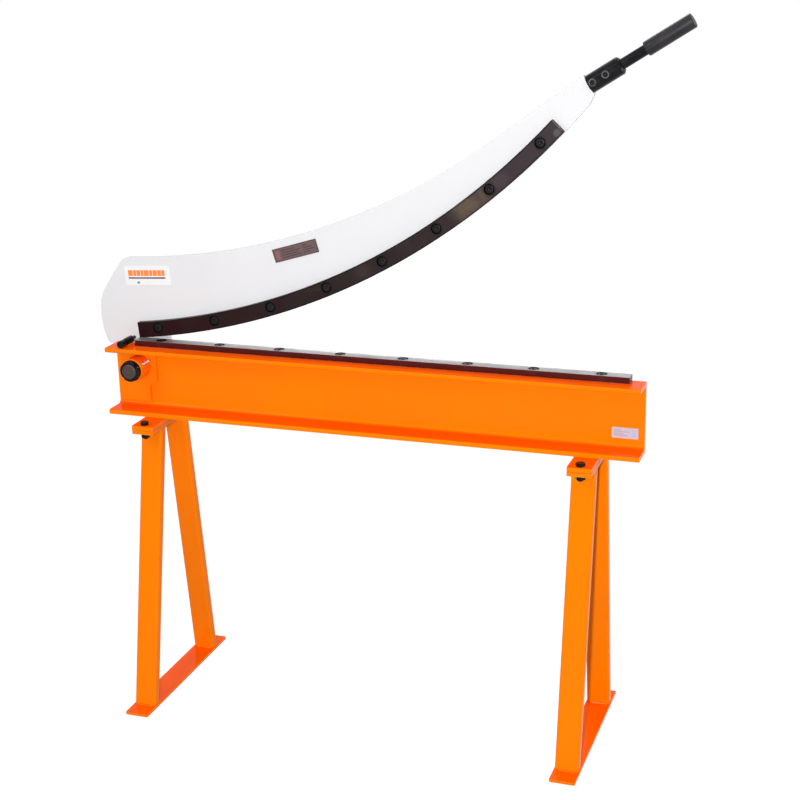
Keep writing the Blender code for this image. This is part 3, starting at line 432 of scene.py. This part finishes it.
def makeMetal(name, values):
    material, board, shader = newMaterial(name, Metallic=values["metallic"],
                                          Specular_IOR_Level=values["specular"])
    places = board.places()
    broad, fine = board.noise(places, 55.0, 4.0), board.noise(places, 900.0, 3.0)
    color = board.mix(board.span(broad, 0.35, 0.65), values["color"], values["tint"])
    edge = board.group("edge", {"Radius": 0.0007, "Break": 220.0, "Amount": values["wear"]})
    spread = board.plus(board.span(broad, 0.3, 0.7, -0.06, 0.06), board.span(fine, 0.3, 0.7, -0.03, 0.03))
    surface(board, shader, board.mix(edge["Mask"], color, values["edge"]),
            board.plus(spread, values["roughness"]), fine, 0.12, 0.0003)
    return material


rubber = {"color": (0.009, 0.008, 0.011, 1), "tint": (0.018, 0.016, 0.020, 1), "roughness": (0.34, 0.46)}


def makeGripRubber(values):
    material, board, shader = newMaterial("gripRubber", Specular_IOR_Level=0.25)
    places = board.places()
    grain = board.put("TexVoronoi", {"Vector": places, "Scale": 900.0}, feature="SMOOTH_F1")
    broad = board.noise(places, 30.0, 3.0)
    color = board.mix(board.span(broad, 0.35, 0.65), values["color"], values["tint"])
    rough = board.span(broad, 0.3, 0.7, *values["roughness"])
    surface(board, shader, color, rough, grain.outputs["Distance"], 0.25, 0.0003)
    return material


# Printed labels: bars are (left, right, bottom, top) in metres from the label's centre
def bars(board, across, up, spans):
    # 1 inside any of the rectangles
    total = 0.0
    for left, right, bottom, top in spans:
        near = []
        for value, low, high in ((across, left, right), (up, bottom, top)):
            apart = board.math("ABSOLUTE", board.minus(value, (low + high) / 2))
            near.append(board.math("LESS_THAN", apart, (high - low) / 2))
        total = board.math("MAXIMUM", board.times(*near), total)
    return total


def makePrint(name, node, tilt, ground, prints, roughness):
    material, board, shader = newMaterial(name)
    low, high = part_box(node)
    level = board.put("Mapping", {"Vector": board.places(), "Location": tuple((low + high) / 2),
                                  "Rotation": (0.0, -np.radians(tilt), 0.0)}, vector_type="TEXTURE")
    x, _, z = board.parts(level)
    color = ground
    for ink, spans in prints:
        color = board.mix(bars(board, x, z, spans), color, ink)
    fibre = board.noise(board.places(), 600.0, 3.0)
    film = board.mix(board.span(fibre, 0.3, 0.7, 0.0, 0.05), color, (0.35, 0.35, 0.37, 1))
    surface(board, shader, film, board.span(fibre, 0.3, 0.7, roughness - 0.05, roughness + 0.05), fibre, 0.05,
            0.0002)
    return material


def rowsOfBars(left, right, bottom, top, rows, shares):
    # Rows of plain bars, each as long as its share of the width
    pitch = (top - bottom) / rows
    return [(left, left + (right - left) * shares[i % len(shares)], bottom + (i + 0.3) * pitch,
             bottom + (i + 0.7) * pitch) for i in range(rows)]


blockEnds = np.cumsum((0.0118, 0.0076, 0.0096, 0.0070, 0.0122, 0.0082, 0.0104, 0.0092, 0.0080)) - 0.0440
stickerBlocks = [(left, right - 0.0010, -0.0008, 0.0112)
                 for left, right in zip(np.append(-0.0440, blockEnds[:-1]), blockEnds)]
# Node, tilt in degrees, ground colour, inks with their bars, roughness
labels = {
    "stickerPrint": ("arm_sticker", 3.2, (0.86, 0.86, 0.86, 1), [
        ((0.98, 0.24, 0.03, 1), stickerBlocks),
        ((0.10, 0.035, 0.06, 1), [(-0.0440, 0.0400, -0.0066, -0.0034)]),
        ((0.14, 0.14, 0.15, 1), [(-0.0250, -0.0195, -0.0165, -0.0125)])], 0.40),
    "ratingPrint": ("rating_plate", 16.3, (0.045, 0.026, 0.028, 1), [
        ((0.116, 0.060, 0.060, 1), [(-0.0460, 0.0460, -0.0115, 0.0115)]),
        ((0.240, 0.075, 0.080, 1), [(-0.0430, -0.0345, -0.0085, 0.0085)]),
        ((0.030, 0.019, 0.021, 1), rowsOfBars(-0.0300, 0.0120, -0.0095, 0.0095, 4, (1.0, 0.85, 0.95, 0.7))
         + rowsOfBars(0.0170, 0.0420, -0.0095, 0.0095, 4, (0.6, 1.0, 0.8, 0.4)))], 0.34),
    "beamPrint": ("beam_label", 0.0, (0.54, 0.53, 0.61, 1), [
        ((0.36, 0.28, 0.42, 1), rowsOfBars(-0.0210, 0.0080, -0.0065, 0.0075, 4, (0.9, 0.6, 1.0, 0.5))),
        ((0.45, 0.50, 0.74, 1), [(0.0125, 0.0215, -0.0070, 0.0070)])], 0.42)}

materials = {name: makePaint(name, values) for name, values in paints.items()}
materials.update({name: makeMetal(name, values) for name, values in metals.items()})
materials.update({name: makePrint(name, *values) for name, values in labels.items()})
materials.update({"upperBladeSteel": makeUpperBladeSteel(upperLooks), "gripRubber": makeGripRubber(rubber),
                  "lowerBladeSteel": makeLowerBladeSteel(lowerLooks)})
print("materials ready:", len(materials))


# Mesh tools

def addPiece(name, mesh, material, body, slot, *nodes):
    mesh.name = name
    mesh.materials.clear()
    mesh.materials.append(materials[material])
    item = addObject(name, mesh)
    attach(item, body)
    if nodes:
        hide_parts(*nodes)
    return item


def dress(node, mesh, material, body, slot):
    # A piece that stands for one CAD node
    return addPiece(node + "_dressed", mesh, material, body, slot, node)


def smooth(mesh, degrees=32.0):
    mesh.shade_smooth()
    mesh.set_sharp_from_angle(angle=np.radians(degrees))
    return mesh


def gridMesh(name, points, closedRows=False):
    # points is rows x columns x 3; neighbours in both directions are joined by quads, the columns
    # run round, and doubles at the poles are merged before the normals are turned outwards
    rows, columns = points.shape[:2]
    i = np.arange(rows if closedRows else rows - 1)[:, None]
    j = np.arange(columns)[None, :]
    nextRow, nextColumn = (i + 1) % rows, (j + 1) % columns
    faces = np.stack([i * columns + j, i * columns + nextColumn, nextRow * columns + nextColumn,
                      nextRow * columns + j], axis=-1).reshape(-1, 4)
    mesh = bpy.data.meshes.new(name)
    mesh.from_pydata(points.reshape(-1, 3), [], faces)
    work = bmesh.new()
    work.from_mesh(mesh)
    bmesh.ops.remove_doubles(work, verts=work.verts, dist=1e-6)
    bmesh.ops.dissolve_degenerate(work, edges=work.edges, dist=1e-7)
    bmesh.ops.recalc_face_normals(work, faces=work.faces)
    work.to_mesh(mesh)
    work.free()
    return smooth(mesh)


def axes(direction):
    # Two directions square to the given one
    w = np.array(direction, float) / np.linalg.norm(direction)
    helper = toUp if abs(w[2]) < 0.9 else np.array((1.0, 0.0, 0.0))
    u = np.cross(helper, w)
    u /= np.linalg.norm(u)
    return u, np.cross(w, u), w


def circle(count):
    return np.linspace(0.0, 2 * np.pi, count, endpoint=False)


def ringPiece(name, rings, sides, origin, direction, closed=False):
    # Each ring is (radius, height), both a number or one value per angle:
    # point = origin + r cos a u + r sin a v + h w
    radii, heights = (np.array([np.broadcast_to(ring[k], sides) for ring in rings], float)[..., None]
                      for k in (0, 1))
    u, v, w = axes(direction)
    angles = circle(sides)[:, None]
    points = np.array(origin) + radii * np.cos(angles) * u + radii * np.sin(angles) * v + heights * w
    return gridMesh(name, points, closedRows=closed)


def softened(profile, radius, steps=3, closed=False):
    # Each corner of the profile becomes a short arc, cut to half of the shorter side beside it
    points = np.array(profile, float)
    count = len(points)
    result = []
    for index in range(count):
        if not closed and index in (0, count - 1):
            result.append(points[index])
            continue
        corner, before, after = points[index], points[index - 1], points[(index + 1) % count]
        toBefore, toAfter = before - corner, after - corner
        reach = min(radius, np.linalg.norm(toBefore) / 2.2, np.linalg.norm(toAfter) / 2.2)
        start = corner + toBefore / np.linalg.norm(toBefore) * reach
        end = corner + toAfter / np.linalg.norm(toAfter) * reach
        t = np.linspace(0.0, 1.0, steps + 1)[:, None]
        result.extend((1 - t) ** 2 * start + 2 * t * (1 - t) * corner + t ** 2 * end)
    return np.array(result)


def turned(name, profile, origin, direction, sides, soft, closed=False):
    # A profile of (radius, height) turned about the axis
    return ringPiece(name, softened(profile, soft, closed=closed), sides, origin, direction, closed)


def hexRadius(acrossFlats, sides):
    # Distance from the middle to a hexagon's side in each direction
    return acrossFlats / 2 / np.cos((circle(sides) + np.pi / 6) % (np.pi / 3) - np.pi / 6)


def refined(node, material, body, slot, width, segments=2, degrees=30.0):
    # A merged copy of the CAD mesh whose sharp edges get a real small round
    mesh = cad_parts[node].data.copy()
    work = bmesh.new()
    work.from_mesh(mesh)
    bmesh.ops.remove_doubles(work, verts=work.verts, dist=1e-5)
    bmesh.ops.dissolve_limit(work, angle_limit=np.radians(0.4), verts=work.verts, edges=work.edges)
    work.to_mesh(mesh)
    work.free()
    piece = dress(node, mesh, material, body, slot)
    smooth(piece.data, degrees)
    bevel = piece.modifiers.new("edges", "BEVEL")
    bevel.width, bevel.segments = width, segments
    bevel.limit_method, bevel.angle_limit = "ANGLE", np.radians(degrees)
    bevel.use_clamp_overlap = True
    bevel.harden_normals = True
    bevel.miter_outer = "MITER_ARC"
    return piece


# Frame: beam, stands, doubler
for node in ("beam", "beam_pad_left", "beam_pad_right", "stand_plate_left", "stand_plate_right",
             "stand_foot_left", "stand_foot_right", "pivot_doubler"):
    refined(node, "orangePaint", "frame", "orange_paint", 0.0008 if node == "beam" else 0.0006)

leg = {"corner": 0.0055, "wall": 0.002, "cornerSteps": 8, "flatLip": 0.0004}


def roundedSection(middle, half, corner, values):
    # Each quarter is an arc, corner centre + r (cos a, sin a), with a short flat lip before and after it
    quarter = np.linspace(0.0, np.pi / 2, values["cornerSteps"] + 1)
    lip = values["flatLip"]
    parts = []
    for k, signs in enumerate(((1, 1), (-1, 1), (-1, -1), (1, -1))):
        angle = quarter + k * np.pi / 2
        outward = np.stack([np.cos(angle), np.sin(angle)], 1)
        bend = np.array(signs) * (half - corner) + corner * outward
        along = np.stack([-np.sin(angle), np.cos(angle)], 1)
        parts += [bend[:1] - lip * along[:1], bend, bend[-1:] + lip * along[-1:]]
    return np.vstack(parts) + middle


def endCorners(node, top):
    # Corners of the CAD leg's level lower or upper end
    points = np.array([v.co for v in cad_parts[node].data.vertices])
    z = points[:, 2].max() if top else points[:, 2].min()
    return points[np.abs(points[:, 2] - z) < 1e-4], z


def legPiece(node, values):
    # A tube between the two level ends of the CAD leg: outer and inner sections at both ends
    rings = []
    for top in (False, True):
        ends, z = endCorners(node, top)
        middle, half = (ends.min(axis=0) + ends.max(axis=0))[:2] / 2, np.ptp(ends, axis=0)[:2] / 2
        for inset in (0.0, values["wall"]):
            section = roundedSection(middle, half - inset, values["corner"] - inset, values)
            rings.append(np.column_stack([section, np.full(len(section), z)]))
    outerLow, innerLow, outerHigh, innerHigh = rings
    mesh = gridMesh(node, np.array([outerLow, outerHigh, innerHigh, innerLow]), closedRows=True)
    dress(node, mesh, "orangePaint", "frame", "orange_paint")


for end, side in standCorners:
    legPiece("%s_leg_%s" % (end, side), leg)
refined("lower_blade", "lowerBladeSteel", "frame", "ground_steel", 0.0003)
refined("upper_blade", "upperBladeSteel", "arm", "blade_steel", 0.0003)
refined("blade_arm", "greyPaint", "arm", "grey_paint", 0.0006)
print("plates dressed")


# Screws, bolts and nuts
screw = {"headRadius": 0.008, "headHeight": 0.007, "chamfer": 0.0008, "keyWidth": 0.008, "keyDepth": 0.004,
         "shankRadius": 0.005, "length": 0.016, "tip": 0.0008, "sides": 48}


def blackScrew(node, body, origin, direction, values, length):
    # Rings from the tip, up the shank, round the head and down into the hexagon socket
    head, top, chamfer, shank, tip = (values[key] for key in ("headRadius", "headHeight", "chamfer",
                                                              "shankRadius", "tip"))
    key, floor = hexRadius(values["keyWidth"], values["sides"]), top - values["keyDepth"]
    rings = [(0, -length), (shank - tip, -length), (shank, -length + tip), (shank, 0), (head - 0.0002, 0),
             (head, 0.0002), (head, top - chamfer), (head - chamfer * 0.3, top - chamfer * 0.3),
             (head - chamfer, top), (key + 0.0004, top), (key + 0.0001, top - 0.0001), (key, top - 0.0004),
             (key, floor + 0.0002), (key - 0.0003, floor), (0, floor - 0.0008)]
    mesh = ringPiece(node, rings, values["sides"], origin, direction)
    dress(node, mesh, "screwSteel", body, "black_steel")


def nodeMiddle(node):
    low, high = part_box(node)
    return np.array((low + high) / 2), np.array(low), np.array(high)


for index in range(1, 9):
    node = "lower_blade_screw_%d" % index
    middle, low, high = nodeMiddle(node)
    seat = (middle[0], middle[1], high[2] - screw["headHeight"])
    blackScrew(node, "frame", seat, toUp, screw, screw["length"])
    node = "upper_blade_screw_%d" % index
    middle, low, high = nodeMiddle(node)
    seat = (middle[0], low[1] + screw["headHeight"], middle[2])
    blackScrew(node, "arm", seat, toFront, screw, screw["length"])

bolt = {"flats": 0.016, "headHeight": 0.0064, "radius": 0.005, "pitch": 0.0015, "plainShank": 0.011,
        "threadEnd": 0.012, "coneShare": 0.97, "coneAngle": np.radians(30), "round": 0.0006, "sides": 96}
threadDepth = 0.0007


def coneCut(values):
    # The hexagon's side wall ends where a cone meets it, so each corner is cut lower by drop
    corner, inner = hexRadius(values["flats"], values["sides"]), values["flats"] / 2 * values["coneShare"]
    return corner, inner, (corner - inner) * np.tan(values["coneAngle"])


def threadRings(radius, low, high, pitch):
    # Plain rings that rise and fall like a thread
    count = max(2, int((high - low) / (pitch / 2)))
    return list(zip(radius - threadDepth * (np.arange(count) % 2), np.linspace(low, high, count)))


def boltPiece(node, values):
    middle, (_, _, low), (_, _, high) = nodeMiddle(node)
    radius, base = values["radius"], high - values["headHeight"]
    corner, inner, drop = coneCut(values)
    rings = [(0, low), (radius - 0.0010, low)]
    rings += threadRings(radius, low + 0.0008, base - values["threadEnd"], values["pitch"])
    rings += [(radius, base - values["plainShank"]), (radius, base), (inner - 0.0004, base),
              (corner, base + 0.0003), (corner, base + values["headHeight"] - drop), (inner, high),
              (inner - values["round"], high), (0, high)]
    mesh = ringPiece(node, rings, values["sides"], (middle[0], middle[1], 0.0), toUp)
    dress(node, mesh, "blackOxide", "frame", "black_steel")


def nutPiece(node, values):
    middle, (_, _, low), (_, _, high) = nodeMiddle(node)
    hole, lip = values["radius"] + gap, values["round"]
    corner, inner, drop = coneCut(values)
    rings = [(hole, low + lip), (hole + lip, low), (inner, low), (corner, low + drop), (corner, high - drop),
             (inner, high), (hole + lip, high), (hole, high - lip)]
    mesh = ringPiece(node, rings, values["sides"], (middle[0], middle[1], 0.0), toUp, closed=True)
    dress(node, mesh, "blackOxide", "frame", "black_steel")


for end, side in standCorners:
    boltPiece("%s_bolt_%s" % (end, side), bolt)
    nutPiece("%s_nut_%s" % (end, side), bolt)
print("screws, bolts and nuts ready")


# Pivot: boss, washers, slotted nut, shaft, spacer, bush
shaft = {"radius": 0.015, "headHeight": 0.008, "threadEnd": 0.012, "plainStart": 0.0125, "pitch": 0.0015,
         "sides": 96}
shaftHole = shaft["radius"] + gap


def ringNode(node, material, body, slot, soft):
    # A plain ring about the pivot's axis, from the CAD node's own box
    low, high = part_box(node)
    outer = (high[0] - low[0]) / 2
    profile = [(outer, low[1]), (outer, high[1]), (shaftHole, high[1]), (shaftHole, low[1])]
    mesh = turned(node, profile, pivotAxis, -toFront, shaft["sides"], soft, closed=True)
    dress(node, mesh, material, body, slot)


ringNode("pivot_boss", "orangePaint", "frame", "orange_paint", 0.0012)
ringNode("pivot_front_washer", "blackOxide", "frame", "black_steel", 0.0004)
ringNode("pivot_rear_washer", "blackOxide", "frame", "black_steel", 0.0004)
ringNode("pivot_spacer", "groundShaft", "frame", "ground_steel", 0.0005)
ringNode("arm_bush", "bushBronze", "arm", "bronze", 0.0004)

nut = {"slots": 4, "slotWidth": 0.005, "slotDepth": 0.0022, "chamfer": 0.0012, "lip": 0.0008, "sides": 144}


def slottedNut(values):
    low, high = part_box("pivot_nut")
    outer, chamfer = (high[0] - low[0]) / 2, values["chamfer"]
    # In a slot the outer radius steps in, so the notch has a flat floor and steep walls
    turn = 2 * np.pi / values["slots"]
    apart = circle(values["sides"]) % turn - turn / 2
    inSlot = np.abs(outer * apart) < values["slotWidth"] / 2
    floor = (outer - values["slotDepth"]) / np.cos(np.where(inSlot, apart, 0.0))
    wall = np.where(inSlot, floor, outer)
    rim = np.where(inSlot, floor - 0.0001, outer - chamfer)
    front, back = low[1], high[1]
    rings = [(shaftHole, front + chamfer), (shaftHole + values["lip"], front), (rim, front),
             (wall, front + chamfer), (wall, back), (shaftHole, back)]
    mesh = ringPiece("pivot_nut", rings, values["sides"], pivotAxis, -toFront, closed=True)
    dress("pivot_nut", mesh, "blackOxide", "frame", "black_steel")


def pivotShaft(values):
    # From a centre mark in the threaded end to the head behind the arm
    low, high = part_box("pivot_shaft")
    tip, top, base = low[1], high[1], high[1] - values["headHeight"]
    head, radius = (high[0] - low[0]) / 2, values["radius"]
    rings = [(0, tip + 0.0012), (0.0016, tip), (radius - 0.0014, tip), (radius - 0.0002, tip + 0.0010)]
    rings += threadRings(radius, tip + 0.0012, tip + values["threadEnd"], values["pitch"])
    rings += [(radius, tip + values["plainStart"]), (radius, base), (head, base), (head, top - 0.001),
              (head - 0.001, top), (0, top)]
    mesh = ringPiece("pivot_shaft", rings, values["sides"], pivotAxis, -toFront)
    dress("pivot_shaft", mesh, "shaftEnd", "frame", "ground_steel")


slottedNut(nut)
pivotShaft(shaft)

nipple = {"angle": np.radians(30), "y": -0.008, "flats": 0.008, "baseHeight": 0.005, "neckRadius": 0.0022,
          "ballRadius": 0.0032, "length": 0.019, "sides": 48}


def greaseNipple(values):
    # A hexagon base on the boss, a narrow neck and a ball tip: r = sqrt(R^2 - h^2) on the ball
    low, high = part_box("pivot_boss")
    out = np.array((np.cos(values["angle"]), 0.0, np.sin(values["angle"])))
    origin = np.array((pivot["x"], values["y"], pivot["z"])) + out * ((high[0] - low[0]) / 2 - 0.0004)
    base, neck, ball = values["baseHeight"], values["neckRadius"], values["ballRadius"]
    centre, hexagon = values["length"] - ball, hexRadius(values["flats"], values["sides"])
    rings = [(0, 0), (hexagon, 0), (hexagon, base - 0.0004), (hexagon - 0.0004, base), (ball, base),
             (neck, base + 0.0012), (neck, values["length"] - 2 * ball)]
    rings += [(ball * np.cos(turn), centre + ball * np.sin(turn))
              for turn in np.linspace(-0.75, 1.0, 12) * np.pi / 2]
    mesh = ringPiece("grease_nipple", rings, values["sides"], origin, out)
    addPiece("grease_nipple", mesh, "zincSteel", "frame", "ground_steel")


greaseNipple(nipple)

# Lock pin and its guide, turned about an axis along Y
guideMiddle, guideLow, guideHigh = nodeMiddle("lock_pin_guide")
lockAxis = (guideMiddle[0], 0.0, guideMiddle[2])
lockPin = {"radius": 0.0035, "guideRadius": 0.0075, "cupRadius": 0.0063, "neckRadius": 0.0060,
           "neckLength": 0.0105, "floor": 0.003, "chamfer": 0.001, "sides": 64}


def makeLockPin(values):
    guide, neck, pin, cup = (values[key] for key in ("guideRadius", "neckRadius", "radius", "cupRadius"))
    back, front, sides = guideHigh[1], guideLow[1], values["sides"]
    shoulder, hole = front + values["neckLength"], pin + gap
    profile = [(neck, front), (neck, shoulder), (guide, shoulder), (guide, back), (hole, back), (hole, front)]
    mesh = turned("lock_pin_guide", profile, lockAxis, -toFront, sides, 0.0006, closed=True)
    dress("lock_pin_guide", mesh, "blackOxide", "frame", "black_steel")
    (_, low, _), (_, high, _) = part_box("lock_pin")
    skirt, floor, chamfer = front + gap, low + values["floor"], values["chamfer"]
    profile = [(0.0, low), (guide - chamfer, low), (guide, low + chamfer), (guide, skirt), (cup, skirt),
               (cup, floor), (pin, floor), (pin, high - chamfer), (pin - chamfer, high), (0.0, high)]
    mesh = turned("lock_pin", profile, lockAxis, -toFront, sides, 0.0004)
    dress("lock_pin", mesh, "blackOxide", "pin", "black_steel")


makeLockPin(lockPin)
print("pivot and lock pin ready")


# Handle: heights run along it from the arm's end
grip = {"socketRadius": 0.01695, "socketEnd": 0.0683, "socketChamfer": 0.004, "boreStart": 0.0303,
        "rodRadius": 0.00975, "gripRadius": 0.01375, "gripStart": 0.1183, "gripEnd": 0.2133,
        "floor": 0.015, "screwPlaces": (0.0100, 0.0370), "rimWidth": 0.0026, "pocket": (0.0226, 0.0126),
        "pocketEnds": (-0.002, 0.0243), "tongueSeat": 0.0063, "sides": 96}
setScrew = {"headRadius": 0.004, "headHeight": 0.004, "chamfer": 0.0005, "keyWidth": 0.004,
            "keyDepth": 0.003, "shankRadius": 0.0038, "sink": 0.001, "tip": 0.0008, "sides": 48}


def cutBy(mesh, cutters):
    # The mesh less the cutters, through an exact Boolean that is applied at once
    base = addObject("blank", mesh)
    helpers = [addObject("cutter", cutter) for cutter in cutters]
    for helper in helpers:
        modifier = base.modifiers.new("cut", "BOOLEAN")
        modifier.operation, modifier.object = "DIFFERENCE", helper
    bpy.context.view_layer.update()
    graph = bpy.context.evaluated_depsgraph_get()
    result = bpy.data.meshes.new_from_object(base.evaluated_get(graph), depsgraph=graph)
    for item in [base] + helpers:
        bpy.data.objects.remove(item, do_unlink=True)
    return smooth(result)


def roundNormals(mesh, origin, axis, radius):
    # On the cylinder of that radius each corner's normal points straight away from the axis
    points = np.empty(len(mesh.vertices) * 3)
    mesh.vertices.foreach_get("co", points)
    rel = points.reshape(-1, 3) - origin
    out = rel - np.outer(rel @ axis, axis)
    away = np.linalg.norm(out, axis=1)
    onWall = np.abs(away - radius) < 2e-5
    normals = [Vector(corner.vector) for corner in mesh.corner_normals]
    for face in mesh.polygons:
        if all(onWall[k] for k in face.vertices):
            for corner, k in zip(face.loop_indices, face.vertices):
                normals[corner] = Vector(out[k] / away[k])
    mesh.normals_split_custom_set(normals)
    return mesh


def screwRim(name, origin, radius, width):
    # Bare edge of a screw hole on the round socket: the surface stands h = sqrt(R^2 - across^2) out
    sides, hole = 64, setScrew["headRadius"] + 0.0005
    u, v, _ = axes(toFront)
    sideways = np.cross(forward, toFront)
    lean = np.cos(circle(sides)) * (u @ sideways) + np.sin(circle(sides)) * (v @ sideways)
    rings = [(hole + reach, np.sqrt(radius ** 2 - ((hole + reach) * lean) ** 2) + lift)
             for reach, lift in ((0.0, -0.0012), (0.0, -0.0002), (0.0004, 0.00015), (width - 0.0003, 0.00015),
                                 (width, -0.0002), (width - 0.0006, -0.0012))]
    mesh = ringPiece(name, rings, sides, origin, toFront, closed=True)
    addPiece(name, mesh, "bareRim", "arm", "black_steel")


def screwHole(origin, radius):
    # The cutter of one set screw's hole, wider at the socket's surface
    hole, mouth = setScrew["headRadius"] + gap, setScrew["headRadius"] + 0.0016
    profile = [(0.0, 0.004), (hole, 0.004), (hole, radius - 0.0003), (mouth, radius + 0.0006),
               (mouth, radius + 0.003), (0.0, radius + 0.003)]
    return turned("hole", profile, origin, toFront, 48, 0.00001)


def tonguePocket(start, values):
    # The cutter of the flat slot that takes the arm's tongue
    corners = np.array([(-1, -1), (1, -1), (1, 1), (-1, 1)]) * np.array(values["pocket"]) / 2
    loop = corners[:, :1] * np.cross(forward, toFront) + corners[:, 1:] * toFront
    points = start + loop[None] + forward * np.array(values["pocketEnds"])[:, None, None]
    middles = points.mean(axis=1, keepdims=True).repeat(4, axis=1)
    return gridMesh("pocket", np.concatenate([middles[:1], points, middles[1:]]))


def makeHandle(values):
    start, sides, rod = np.array(handle["start"]), values["sides"], values["rodRadius"]
    hole, floor = rod + gap, values["gripEnd"] - values["floor"]
    radius, end, chamfer = values["socketRadius"], values["socketEnd"], values["socketChamfer"]
    profile = [(0.0, gap), (radius, gap), (radius, end - chamfer), (radius - chamfer, end), (hole, end),
               (hole, values["boreStart"]), (0.0, values["boreStart"])]
    socket = turned("handle_socket", profile, start, forward, sides, 0.0005)
    cutters = [screwHole(start + forward * place, radius) for place in values["screwPlaces"]]
    shell = roundNormals(cutBy(socket, cutters + [tonguePocket(start, values)]), start, forward, radius)
    dress("handle_socket", shell, "blackOxide", "arm", "black_steel")
    depth = radius - setScrew["sink"] - setScrew["headHeight"]
    for index, (place, seat) in enumerate(zip(values["screwPlaces"], (values["tongueSeat"], hole)), 1):
        origin = start + forward * place
        blackScrew("socket_set_screw_%d" % index, "arm", origin + toFront * depth, toFront, setScrew,
                   depth - seat)
        screwRim("socket_screw_rim_%d" % index, origin, radius, values["rimWidth"])
    rodLow, rodEnd = values["boreStart"] + gap, floor - gap
    mesh = turned("handle_rod", [(0.0, rodLow), (rod, rodLow), (rod, rodEnd), (0.0, rodEnd)], start, forward,
                  sides, 0.0008)
    dress("handle_rod", mesh, "blackOxide", "arm", "black_steel")
    outer, low, high = values["gripRadius"], values["gripStart"], values["gripEnd"]
    profile = [(0.0, high), (outer - 0.0015, high), (outer, high - 0.0015), (outer, low + 0.001),
               (outer - 0.001, low), (hole, low), (hole, floor), (0.0, floor)]
    sleeve = turned("handle_grip", profile, start, forward, sides, 0.0012)
    dress("handle_grip", sleeve, "gripRubber", "arm", "black_grip")


makeHandle(grip)
print("handle ready")


# Weld beads: a round section carried along a path, with ripples along it
def bead(name, path, radius, closed=True, ripple=0.0022, sides=10):
    # r = radius (0.9 + 0.16 |sin(pi s / ripple)|) with s the length along the path
    path = np.array(path, float)
    after = np.roll(path, -1, axis=0) if closed else np.vstack([path[1:], 2 * path[-1] - path[-2]])
    before = np.roll(path, 1, axis=0) if closed else np.vstack([2 * path[0] - path[1], path[:-1]])
    tangent = after - before
    tangent /= np.linalg.norm(tangent, axis=1, keepdims=True)
    s = np.cumsum(np.linalg.norm(np.diff(path, axis=0, prepend=path[:1]), axis=1))
    r = radius * (0.9 + 0.16 * np.abs(np.sin(np.pi * s / ripple)))
    if not closed:
        reach = np.minimum(s, s[-1] - s)
        r = r * np.sqrt(np.clip(reach / (2 * radius), 0.0, 1.0))
    askew = np.array((0.31, 0.17, 0.93))  # along none of the paths
    u = np.cross(tangent, askew)
    u /= np.linalg.norm(u, axis=1, keepdims=True)
    v = np.cross(tangent, u)
    angles = circle(sides)[None, :, None]
    points = path[:, None] + r[:, None, None] * (np.cos(angles) * u[:, None] + np.sin(angles) * v[:, None])
    mesh = gridMesh(name, points, closedRows=closed)
    mesh.shade_smooth()
    addPiece(name, mesh, "orangePaint", "frame", "orange_paint")


weld = {"legRadius": 0.0022, "cornerInset": 0.0055, "bossRadius": 0.0026, "padRadius": 0.0020,
        "guideRadius": 0.0016, "guideHalf": 0.0042, "sink": 0.0002, "step": 0.0006, "bossSteps": 240}


def straightBead(name, start, end, axis, radius):
    # An open bead from start up to the place end along one axis
    places = np.arange(start[axis], end, weld["step"])
    path = np.tile(np.array(start, float), (len(places), 1))
    path[:, axis] = places
    bead(name, path, radius, closed=False)


def legWelds(values):
    inset, sink = values["cornerInset"], values["sink"]
    for end, side in standCorners:
        node = "%s_leg_%s" % (end, side)
        for label, top in (("foot", False), ("head", True)):
            ring, z = endCorners(node, top)
            low, high = ring.min(axis=0), ring.max(axis=0)
            for face, y in (("front", low[1] - sink), ("rear", high[1] + sink)):
                start = (low[0] + inset, y, z)
                straightBead("%s_%s_%s_weld" % (node, label, face), start, high[0] - inset, 0,
                             values["legRadius"])


def bossWeld(values):
    low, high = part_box("pivot_boss")
    angles = circle(values["bossSteps"])
    radius = (high[0] - low[0]) / 2 + gap
    path = np.stack([pivot["x"] + radius * np.cos(angles), np.full(len(angles), high[1]),
                     pivot["z"] + radius * np.sin(angles)], axis=1)
    bead("pivot_boss_weld", path, values["bossRadius"])


def padWelds(values):
    # Straight beads where each pad's two long sides meet the beam's lower flange
    beamLow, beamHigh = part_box("beam")
    for side in ("left", "right"):
        low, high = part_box("beam_pad_" + side)
        for label, x in (("outer", low[0] - gap), ("inner", high[0] + gap)):
            start = (x, beamLow[1] + 0.004, high[2] - values["sink"])
            straightBead("pad_%s_%s_weld" % (side, label), start, beamHigh[1] - 0.003, 1, values["padRadius"])


def guideWelds(values):
    half = values["guideHalf"]
    for label, x in (("outer", lockAxis[0] - half), ("inner", lockAxis[0] + half)):
        start = (x, guideLow[1] + 0.012, guideLow[2] + 0.0005)
        straightBead("guide_%s_weld" % label, start, guideHigh[1] - 0.001, 1, values["guideRadius"])


legWelds(weld)
bossWeld(weld)
padWelds(weld)
guideWelds(weld)
print("welds ready")


# Labels: the CAD label nodes get their printed materials
for material, (node, *_) in labels.items():
    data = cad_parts[node].data
    data.materials.clear()
    data.materials.append(materials[material])
